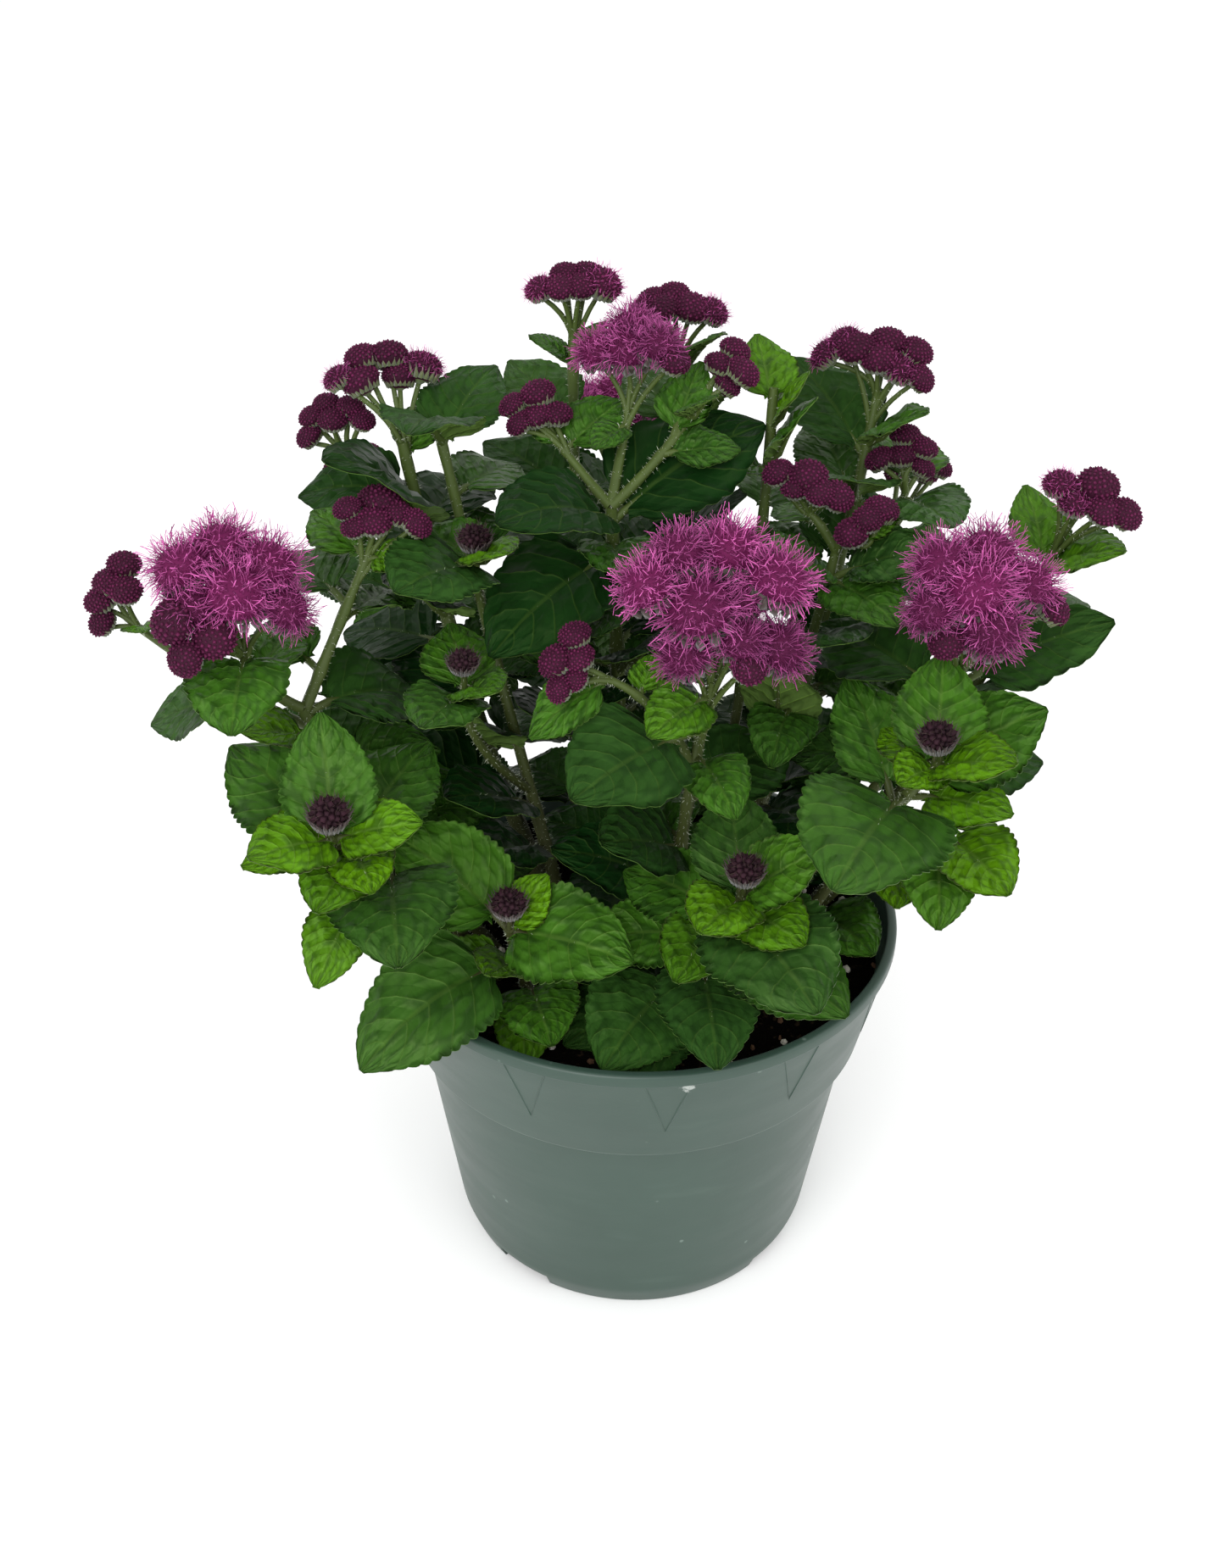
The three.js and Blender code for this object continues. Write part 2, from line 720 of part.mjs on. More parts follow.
    leaves: [
      [0, 0.95, 120, 40, 4, 24, 20, 25],
      [0, 0.95, -55, 35, 4, 24, 20, 25],
      [0, 0.78, 35, 20, 8, 34, 30, 35],
      [0, 0.78, -150, 40, 8, 30, 25, 30],
      [0, 0.55, 85, 10, 10, 34, 29, 35],
      [0, 0.55, -15, 0, 10, 32, 26, 35],
      [0, 0.33, 30, 12, 10, 34, 30, 35],
      [0, 0.36, 125, 15, 10, 34, 30, 35],
      [0, 0.66, 80, 50, 8, 30, 29, 50],
      [0, 0.45, 75, 45, 8, 30, 29, 50],
      [0, 0.2, 80, 45, 8, 30, 29, 50],
      [0, 0.5, -10, 45, 8, 30, 28, 50],
    ],
    flowers: [
      {
        name: "cluster_rear_right",
        stem: 0,
        kind: "bud",
        heads: [
          [88, 90, 228, 4.5], [96, 90, 224, 4.5], [89, 94, 225, 4.5], [83, 90, 226, 4.5],
          [82, 85, 224, 4.5], [92, 92, 221, 4.5],
        ],
      },
    ],
  },
];

const LEAF_POSES = LEAF_SIZES.flatMap((size) => {
  const poses = LEAF_TURNS.flatMap((turn) => LEAF_LIFTS.map((lift) => ({ size, turn, lift })));
  const bend = (pose) => Math.abs(pose.turn) + Math.abs(pose.lift);
  return poses.sort((a, b) => bend(a) - bend(b));
});

const UP = new THREE.Vector3(0, 0, 1);
const radians = THREE.MathUtils.degToRad;
const vector = (values) => new THREE.Vector3(...values);

// ---- Solids ----

// A closed mesh with shared corners, turned so that its faces point out.
function solidFrom(geometry) {
  geometry.deleteAttribute("normal");
  geometry.deleteAttribute("uv");
  const merged = mergeVertices(geometry, 1e-4);
  const corners = merged.index.array;
  const positions = merged.attributes.position;
  const triangles = [];
  const [a, b, c] = [new THREE.Vector3(), new THREE.Vector3(), new THREE.Vector3()];
  let volume = 0;
  for (let i = 0; i < corners.length; i += 3) {
    const [p, q, r] = [corners[i], corners[i + 1], corners[i + 2]];
    if (p !== q && q !== r && r !== p) {
      triangles.push([p, q, r]);
      a.fromBufferAttribute(positions, p);
      b.fromBufferAttribute(positions, q);
      c.fromBufferAttribute(positions, r);
      volume += a.dot(b.cross(c));
    }
  }
  const facing = volume < 0 ? triangles.map(([p, q, r]) => [p, r, q]) : triangles;
  return new wasm.Manifold(new wasm.Mesh({
    numProp: 3,
    vertProperties: Float32Array.from(positions.array),
    triVerts: Uint32Array.from(facing.flat()),
  }));
}

function geometryFrom(points, faces) {
  const geometry = new THREE.BufferGeometry();
  const positions = points.flatMap((point) => point.toArray());
  geometry.setAttribute("position", new THREE.Float32BufferAttribute(positions, 3));
  geometry.setIndex(faces.flat());
  return geometry;
}

function joined(solids) {
  return solids.reduce((whole, solid) => whole.add(solid));
}

// The largest connected piece, with any loose scrap left out.
function mainPiece(solid) {
  const pieces = solid.decompose();
  return pieces.reduce((best, piece) => (piece.numTri() > best.numTri() ? piece : best));
}

function overlaps(solid, other) {
  const a = solid.boundingBox();
  const b = other.boundingBox();
  const apart = [0, 1, 2].some((axis) => a.max[axis] < b.min[axis] || b.max[axis] < a.min[axis]);
  return !apart && !solid.intersect(other).isEmpty();
}

function lathe(profile, sides) {
  const points = profile.map(([radius, height]) => new THREE.Vector2(radius, height));
  return new THREE.LatheGeometry(points, sides).rotateX(Math.PI / 2);
}

function tube(curve, radius, sides, steps) {
  const section = new THREE.Shape();
  for (let side = 0; side < sides; side += 1) {
    const angle = (2 * Math.PI * side) / sides;
    const [x, y] = [radius * Math.cos(angle), radius * Math.sin(angle)];
    side === 0 ? section.moveTo(x, y) : section.lineTo(x, y);
  }
  section.closePath();
  return solidFrom(new THREE.ExtrudeGeometry(section, {
    steps,
    bevelEnabled: false,
    extrudePath: curve,
  }));
}

// ---- Pot: flared collar with a lip, tapered body, flat base and drain notches ----

function potProfile() {
  const outer = [
    [0, 0],
    [FOOT_RADIUS, 0],
    [HEEL_RADIUS, HEEL_HEIGHT],
    [BODY_TOP_RADIUS, COLLAR_BOTTOM_HEIGHT - COLLAR_STEP_HEIGHT],
    [COLLAR_BOTTOM_RADIUS, COLLAR_BOTTOM_HEIGHT],
    [RIM_RADIUS - LIP_STEP, POT_HEIGHT - LIP_HEIGHT],
    [RIM_RADIUS, POT_HEIGHT - LIP_HEIGHT],
    [RIM_RADIUS, POT_HEIGHT],
  ];
  const inner = [
    [RIM_RADIUS - LIP_STEP - WALL, POT_HEIGHT],
    [COLLAR_BOTTOM_RADIUS - WALL, COLLAR_BOTTOM_HEIGHT + WALL],
    [BODY_TOP_RADIUS - WALL, COLLAR_BOTTOM_HEIGHT - WALL],
    [FOOT_RADIUS - WALL, FLOOR_THICKNESS],
    [0, FLOOR_THICKNESS],
  ];
  return [...outer, ...inner];
}

function potSolid() {
  let pot = solidFrom(lathe(potProfile(), POT_SIDES));
  for (let drain = 0; drain < DRAIN_COUNT; drain += 1) {
    const notch = new THREE.BoxGeometry(DRAIN_WIDTH, DRAIN_DEPTH, 2 * DRAIN_HEIGHT);
    notch.translate(0, -FOOT_RADIUS, 0);
    notch.rotateZ(radians(DRAIN_TURN + (360 * drain) / DRAIN_COUNT));
    pot = pot.subtract(solidFrom(notch));
  }
  return pot;
}

// ---- Soil: fills the pot a little below its rim, lumpy on top ----

function innerRadius(height) {
  const low = [HEEL_RADIUS, HEEL_HEIGHT];
  const middle = [BODY_TOP_RADIUS, COLLAR_BOTTOM_HEIGHT];
  const high = [RIM_RADIUS - LIP_STEP, POT_HEIGHT];
  const start = [COLLAR_BOTTOM_RADIUS, COLLAR_BOTTOM_HEIGHT];
  const [from, to] = height < COLLAR_BOTTOM_HEIGHT ? [low, middle] : [start, high];
  const share = (height - from[1]) / (to[1] - from[1]);
  return THREE.MathUtils.lerp(from[0], to[0], share) - WALL - SOIL_SHRINK;
}

function soilSolid() {
  const floor = FLOOR_THICKNESS + GAP;
  const geometry = lathe([
    [0, floor],
    [FOOT_RADIUS - WALL - 2 * SOIL_SHRINK, floor],
    [innerRadius(SHOULDER_HEIGHT), SHOULDER_HEIGHT],
    [innerRadius(SOIL_HEIGHT - SOIL_EDGE_DROP), SOIL_HEIGHT - SOIL_EDGE_DROP],
    [innerRadius(SOIL_HEIGHT) - SOIL_EDGE_WIDTH, SOIL_HEIGHT],
    [0, SOIL_HEIGHT + SOIL_CROWN],
  ], SOIL_SIDES);
  const positions = geometry.attributes.position;
  for (let i = 0; i < positions.count; i += 1) {
    const [x, y, z] = [positions.getX(i), positions.getY(i), positions.getZ(i)];
    if (z > SOIL_HEIGHT - SOIL_CROWN) {
      positions.setZ(i, z + (SOIL_LUMP / 2) * (Math.sin(x / SOIL_LUMP_SPAN) + Math.cos(y / SOIL_LUMP_SPAN)));
    }
  }
  return solidFrom(geometry);
}

// ---- Stems ----

function stemCurves(stems) {
  const curves = [];
  for (const stem of stems) {
    const start = stem.root
      ? new THREE.Vector3(...stem.root, SOIL_HEIGHT - ROOT_DEPTH)
      : curves[stem.parent].getPoint(stem.from);
    curves.push(new THREE.QuadraticBezierCurve3(start, vector(stem.bend), vector(stem.tip)));
  }
  return curves;
}

function stemSolids(stems, curves, extra = 0) {
  return stems.map((stem, index) => tube(
    curves[index],
    stem.radius + extra,
    STEM_SIDES,
    stem.root ? STEM_STEPS : BRANCH_STEPS,
  ));
}

// ---- Leaves ----

// Half the width of the blade at a share of its length: round at the base, pointed at the tip.
function bladeShape(share) {
  return (share ** BASAL_POWER * (1 - share) ** TIP_POWER) / SHAPE_PEAK;
}

// The leaf's midrib bends down evenly. Returns the place and the directions there.
function leafFrame(leaf, pose, share) {
  const length = (leaf.stalk + leaf.blade) * pose.size;
  const azimuth = radians(leaf.azimuth + pose.turn);
  const start = radians(leaf.rise + pose.lift);
  const droop = radians(leaf.droop);
  const slope = start - droop * share;
  const reach = (length / droop) * (Math.sin(start) - Math.sin(slope));
  const climb = (length / droop) * (Math.cos(slope) - Math.cos(start));
  const out = new THREE.Vector3(Math.cos(azimuth), Math.sin(azimuth), 0);
  const flatSide = new THREE.Vector3(-out.y, out.x, 0);
  const flatNormal = UP.clone().multiplyScalar(Math.cos(slope)).addScaledVector(out, -Math.sin(slope));
  const roll = radians(LIGHT_TILT) * Math.cos(azimuth);
  const side = flatSide.clone().multiplyScalar(Math.cos(roll)).addScaledVector(flatNormal, Math.sin(roll));
  const normal = flatNormal.multiplyScalar(Math.cos(roll)).addScaledVector(flatSide, -Math.sin(roll));
  const place = leaf.base.clone().addScaledVector(out, reach).addScaledVector(UP, climb);
  return { place, side, normal };
}

// A point of the blade at a share of its length and a share of its half width, left or right.
function bladePoint(leaf, pose, share, across, halfWidth) {
  const { stalk, blade } = leaf;
  const frame = leafFrame(leaf, pose, (stalk + blade * share) / (stalk + blade));
  const raise = CUP * Math.abs(across) * halfWidth * (1 - CUP_FADE * share);
  const point = frame.place.addScaledVector(frame.side, across * halfWidth);
  return { point: point.addScaledVector(frame.normal, raise), normal: frame.normal };
}

// A blade with one tooth on each side for each step, on a flat stalk. With a margin it is the
// space that the leaf keeps clear round itself, and bare leaves the stalk out.
function leafSolid(leaf, pose, margin = 0, bare = false) {
  const { teeth } = leaf;
  const tops = [];
  const bottoms = [];
  const put = ({ point, normal }, above, below) => {
    tops.push(point.clone().addScaledVector(normal, above + margin));
    bottoms.push(point.clone().addScaledVector(normal, -below - margin));
    return tops.length - 1;
  };
  const halfWidth = (share) => (leaf.width / 2) * pose.size * bladeShape(share) + margin;
  const ribs = [];
  for (let step = 0; step <= teeth; step += 1) {
    const [above, below] = step === 0 ? [0, STALK_THICKNESS] : [BLADE_HALF_THICKNESS, BLADE_HALF_THICKNESS];
    const tip = step === teeth;
    ribs.push(put(bladePoint(leaf, pose, step / teeth, 0, 0), tip ? 0 : above, tip ? 0 : below));
  }
  const faces = [];
  const rim = [];
  for (const sign of [1, -1]) {
    const edge = [];
    for (let step = 0; step < 2 * teeth; step += 1) {
      const share = step / (2 * teeth);
      const notch = step % 2 === 1 ? 1 : TOOTH_NOTCH;
      const reach = step === 0 ? STALK_HALF_WIDTH + margin : halfWidth(share) * notch;
      edge.push(put(bladePoint(leaf, pose, share, sign, reach), 0, 0));
    }
    edge.push(ribs[teeth]);
    for (let step = 0; step < teeth; step += 1) {
      const [near, tooth, far] = edge.slice(2 * step, 2 * step + 3);
      const fan = [[ribs[step], near, tooth], [ribs[step], tooth, ribs[step + 1]]];
      if (step < teeth - 1) fan.push([ribs[step + 1], tooth, far]);
      faces.push(...fan.map(([a, b, c]) => (sign > 0 ? [a, c, b] : [a, b, c])));
    }
    rim.push(edge);
  }
  const outline = [...rim[1].slice(0, -1), ribs[teeth], ...rim[0].slice(0, -1).reverse()];
  if (bare) {
    outline.push(ribs[0]);
  } else {
    const start = leafFrame(leaf, pose, 0);
    const point = start.place.addScaledVector(start.normal, STALK_THICKNESS / 2);
    const [right, middle, left] = [1, 0, -1].map((sign) => put({
      point: point.clone().addScaledVector(start.side, sign * (STALK_HALF_WIDTH + margin)),
      normal: start.normal,
    }, 0, sign === 0 ? STALK_THICKNESS : 0));
    faces.push([left, rim[1][0], ribs[0]], [left, ribs[0], middle]);
    faces.push([middle, ribs[0], right], [right, ribs[0], rim[0][0]]);
    outline.push(right, middle, left);
  }
  const count = tops.length;
  const walls = outline.flatMap((from, index) => {
    const to = outline[(index + 1) % outline.length];
    return [[from, from + count, to + count], [from, to + count, to]];
  });
  const undersides = faces.map(([a, b, c]) => [a + count, c + count, b + count]);
  return solidFrom(geometryFrom([...tops, ...bottoms], [...faces, ...undersides, ...walls]));
}

// A leaf is bent clear of every other stem, head and leaf by the smallest turn and lift that does it.
function settledPose(leaf, shoot, obstacles) {
  const { base, stalk, blade } = leaf;
  const near = obstacles.filter(({ solid }) => {
    const box = solid.boundingBox();
    const reach = stalk + blade + LEAF_CLEARANCE;
    return ["x", "y", "z"].every((axis, k) => (
      box.min[k] < base[axis] + reach && box.max[k] > base[axis] - reach));
  });
  const others = near.filter((obstacle) => obstacle.shoot !== shoot);
  const own = near.filter((obstacle) => obstacle.shoot === shoot && obstacle.blade);
  return LEAF_POSES.find((pose) => {
    const whole = leafSolid(leaf, pose, LEAF_CLEARANCE);
    if (others.some(({ solid }) => overlaps(whole, solid))) return false;
    const bare = leafSolid(leaf, pose, LEAF_CLEARANCE / 2, true);
    return !own.some((obstacle) => overlaps(bare, obstacle.blade));
  });
}

// ---- Flower heads ----

function placed(geometry, centre, axis) {
  geometry.applyQuaternion(new THREE.Quaternion().setFromUnitVectors(UP, axis));
  geometry.translate(centre.x, centre.y, centre.z);
  return solidFrom(geometry);
}

// A closed head: a fluted dome on a narrower base.
function budHead(centre, axis, radius) {
  const geometry = lathe(BUD_PROFILE.map(([r, z]) => [r * radius, z * radius]), BUD_SIDES);
  const positions = geometry.attributes.position;
  for (let i = 0; i < positions.count; i += 1) {
    const [x, y, z] = [positions.getX(i), positions.getY(i), positions.getZ(i)];
    const side = Math.round(((Math.atan2(y, x) + Math.PI / 2) * BUD_SIDES) / (2 * Math.PI));
    if (z > 0 && Math.abs(side % 2) === 1) {
      positions.setXY(i, x * BUD_FLUTE, y * BUD_FLUTE);
    }
  }
  return placed(geometry, centre, axis);
}

// An open or young head: a core with a pointed tuft standing on each of its upper faces.
function tuftedHead(centre, axis, radius, coreShare, tuftShare) {
  const core = new THREE.IcosahedronGeometry(radius * coreShare, 0).attributes.position;
  const points = [];
  for (let i = 0; i < core.count; i += 3) {
    const corners = [0, 1, 2].map((k) => new THREE.Vector3().fromBufferAttribute(core, i + k));
    const peak = corners[0].clone().add(corners[1]).add(corners[2]).normalize();
    if (peak.z > TUFT_LOW) {
      peak.multiplyScalar(radius * tuftShare);
      for (let k = 0; k < 3; k += 1) points.push(corners[k], corners[(k + 1) % 3], peak);
    } else {
      points.push(...corners);
    }
  }
  const faces = points.map((_, index) => index);
  return placed(geometryFrom(points, [faces]), centre, axis);
}

const HEAD_MAKERS = {
  bud: budHead,
  open: (centre, axis, radius) => tuftedHead(centre, axis, radius, OPEN_CORE, OPEN_TUFT),
  young: (centre, axis, radius) => tuftedHead(centre, axis, radius, YOUNG_CORE, YOUNG_TUFT),
};
const HEAD_DEPTH = { bud: BUD_DEPTH, open: OPEN_CORE, young: YOUNG_CORE };


// The heads of one cluster are packed into one body. They look away from the place where
// their stalks part, a little below the stem's tip. The first ones stand on stalks that end
// a gap below them, and carry the others.
function clusterHeads(flower, curve) {
  const fan = curve.getPoint(1).addScaledVector(UP, -FAN_DEPTH);
  const pitch = PEDICEL_PITCH / curve.getLength();
  return flower.heads.map(([x, y, z, radius], index) => {
    const tip = curve.getPoint(PEDICEL_START - pitch * index);
    const centre = new THREE.Vector3(x, y, z);
    const axis = centre.clone().sub(fan).normalize();
    const foot = centre.clone().addScaledVector(axis, -HEAD_DEPTH[flower.kind] * radius - GAP);
    const solid = HEAD_MAKERS[flower.kind](centre, axis, radius);
    return { solid, foot, tip, stalked: index < STALKED_HEADS };
  });
}

function pedicel(head, extra = 0) {
  const line = new THREE.LineCurve3(head.tip, head.foot);
  return tube(line, PEDICEL_RADIUS + extra, PEDICEL_SIDES, 1);
}

// ---- The whole plant ----

function buildShoots() {
  const shoots = SHOOTS.map((shoot) => {
    const curves = stemCurves(shoot.stems);
    const clusters = shoot.flowers.map((flower) => {
      const heads = clusterHeads(flower, curves[flower.stem]);
      return { name: flower.name, kind: flower.kind, heads };
    });
    return { ...shoot, curves, clusters, stemParts: stemSolids(shoot.stems, curves) };
  });
  const obstacles = [];
  for (const shoot of shoots) {
    for (const solid of shoot.stemParts) obstacles.push({ shoot: shoot.name, solid });
    for (const cluster of shoot.clusters) {
      for (const head of cluster.heads) {
        if (head.stalked) obstacles.push({ shoot: shoot.name, solid: pedicel(head) });
        obstacles.push({ shoot: cluster.name, solid: head.solid });
      }
    }
  }
  for (const solid of [potSolid(), soilSolid()]) obstacles.push({ shoot: "pot", solid });
  for (const shoot of shoots) {
    shoot.leafParts = [];
    for (const [stem, place, azimuth, rise, stalk, blade, width, droop] of shoot.leaves) {
      const base = shoot.curves[stem].getPoint(place);
      const leaf = { base, azimuth, rise, stalk, blade, width, droop, teeth: toothCount(blade) };
      const pose = settledPose(leaf, shoot.name, obstacles);
      if (pose) {
        const solid = leafSolid(leaf, pose);
        shoot.leafParts.push(solid);
        obstacles.push({ shoot: shoot.name, solid, blade: leafSolid(leaf, pose, 0, true) });
      }
    }
  }
  return shoots;
}

// Teeth on each side of a blade.
function toothCount(blade) {
  if (blade > LARGE_BLADE) return 4;
  return blade > MIDDLE_BLADE ? 3 : 2;
}

// ---- Colours ----

function material(color, roughness) {
  return new THREE.MeshStandardMaterial({ color, roughness, metalness: 0 });
}

const MATERIALS = {
  pot: () => material(0x566a60, 0.45),
  soil: () => material(0x1d1814, 0.95),
  green: () => material(0x3c6e26, 0.55),
  bud: () => material(0x6a1f4c, 0.8),
  open: () => material(0xa24484, 0.8),
  young: () => material(0x5a4a52, 0.85),
};

function meshFrom(name, solid, kind) {
  const mesh = solid.getMesh();
  const geometry = new THREE.BufferGeometry();
  geometry.setAttribute("position", new THREE.Float32BufferAttribute(mesh.vertProperties, 3));
  geometry.setIndex(Array.from(mesh.triVerts));
  const result = new THREE.Mesh(geometry, MATERIALS[kind]());
  result.name = name;
  return result;
}

const plant = new THREE.Group();
const shoots = buildShoots();
let soil = soilSolid();
for (const shoot of shoots) {
  const sockets = stemSolids(shoot.stems.slice(0, 1), shoot.curves, GAP);
  soil = soil.subtract(sockets[0]);
}
plant.add(meshFrom("pot", potSolid(), "pot"));
plant.add(meshFrom("soil", mainPiece(soil), "soil"));
for (const shoot of shoots) {
  const heads = shoot.clusters.flatMap((cluster) => cluster.heads).filter((head) => head.stalked);
  const green = joined([...shoot.stemParts, ...heads.map((head) => pedicel(head)), ...shoot.leafParts]);
  plant.add(meshFrom(shoot.name, mainPiece(green), "green"));
  for (const cluster of shoot.clusters) {
    let flower = joined(cluster.heads.map((head) => head.solid));
    for (const head of heads) {
      const room = pedicel(head, GAP);
      if (overlaps(flower, pedicel(head))) flower = flower.subtract(room);
    }
    plant.add(meshFrom(cluster.name, mainPiece(flower), cluster.kind));
  }
}

export default plant;
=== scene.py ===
"""Gives the potted ageratum its finished look: pot, soil, stems, leaves and flower heads."""

import math
from collections import namedtuple

import bpy
import numpy as np
from mathutils import Matrix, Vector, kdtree


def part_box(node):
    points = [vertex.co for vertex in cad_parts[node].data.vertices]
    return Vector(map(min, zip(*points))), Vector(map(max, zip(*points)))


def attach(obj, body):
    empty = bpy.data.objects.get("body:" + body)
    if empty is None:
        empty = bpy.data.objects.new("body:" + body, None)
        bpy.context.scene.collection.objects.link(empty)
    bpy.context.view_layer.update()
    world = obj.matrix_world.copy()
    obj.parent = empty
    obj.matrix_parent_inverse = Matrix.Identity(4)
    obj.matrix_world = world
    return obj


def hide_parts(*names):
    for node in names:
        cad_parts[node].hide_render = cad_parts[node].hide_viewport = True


bl_info = {
    "name": "Potted Ageratum",
    "version": (1, 0, 0),
    "blender": (4, 5, 0),
    "location": "View3D > Sidebar > Ageratum",
    "description": "Builds a potted ageratum with its leaves, flower heads, soil and pot",
    "category": "Object",
}

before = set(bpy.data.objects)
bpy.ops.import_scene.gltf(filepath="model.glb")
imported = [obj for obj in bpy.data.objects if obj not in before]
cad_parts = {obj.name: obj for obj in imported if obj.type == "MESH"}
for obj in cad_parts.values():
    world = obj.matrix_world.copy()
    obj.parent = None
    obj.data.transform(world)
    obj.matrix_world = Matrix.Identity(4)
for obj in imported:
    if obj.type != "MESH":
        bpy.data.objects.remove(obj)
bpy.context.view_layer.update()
MM = 0.001
FULL_TURN = 2 * math.pi
GOLDEN_ANGLE = 2.399963
UP = np.array((0.0, 0.0, 1.0))

# ---- The form that the plant's solids follow, in millimetres and degrees ----

SOIL_HEIGHT = 105
ROOT_DEPTH = 8
MIDDLE_Y = 10
LIGHT_TILT = 25
CUP = 0.28
CUP_FADE = 1.6
BASAL_POWER = 0.38
TIP_POWER = 0.8
SHAPE_PEAK = 0.4764
LARGE_BLADE = 38
MIDDLE_BLADE = 34
LEAF_SIZES = (1, 0.85, 0.7)
LEAF_TURNS = (0, 6, -6, 12, -12, 18, -18, 24, -24, 30, -30)
LEAF_LIFTS = (0, 6, -6, 12, -12, 18, -18, 24, -24)
MATCH_DISTANCE = 0.05
PEDICEL_START = 0.99
PEDICEL_END = 0.75
PEDICEL_PITCH = 1.9
FAN_DEPTH = 6
HEAD_DEPTH = {"bud": 0.8, "open": 0.72, "young": 0.78}

Shoot = namedtuple("Shoot", "name tone stems leaves flowers")
Leaf = namedtuple("Leaf", "base azimuth rise stalk blade width droop size tone place stem")
Head = namedtuple("Head", "centre axis radius tip tangent")
Plant = namedtuple("Plant", "shoot curves leaves heads")

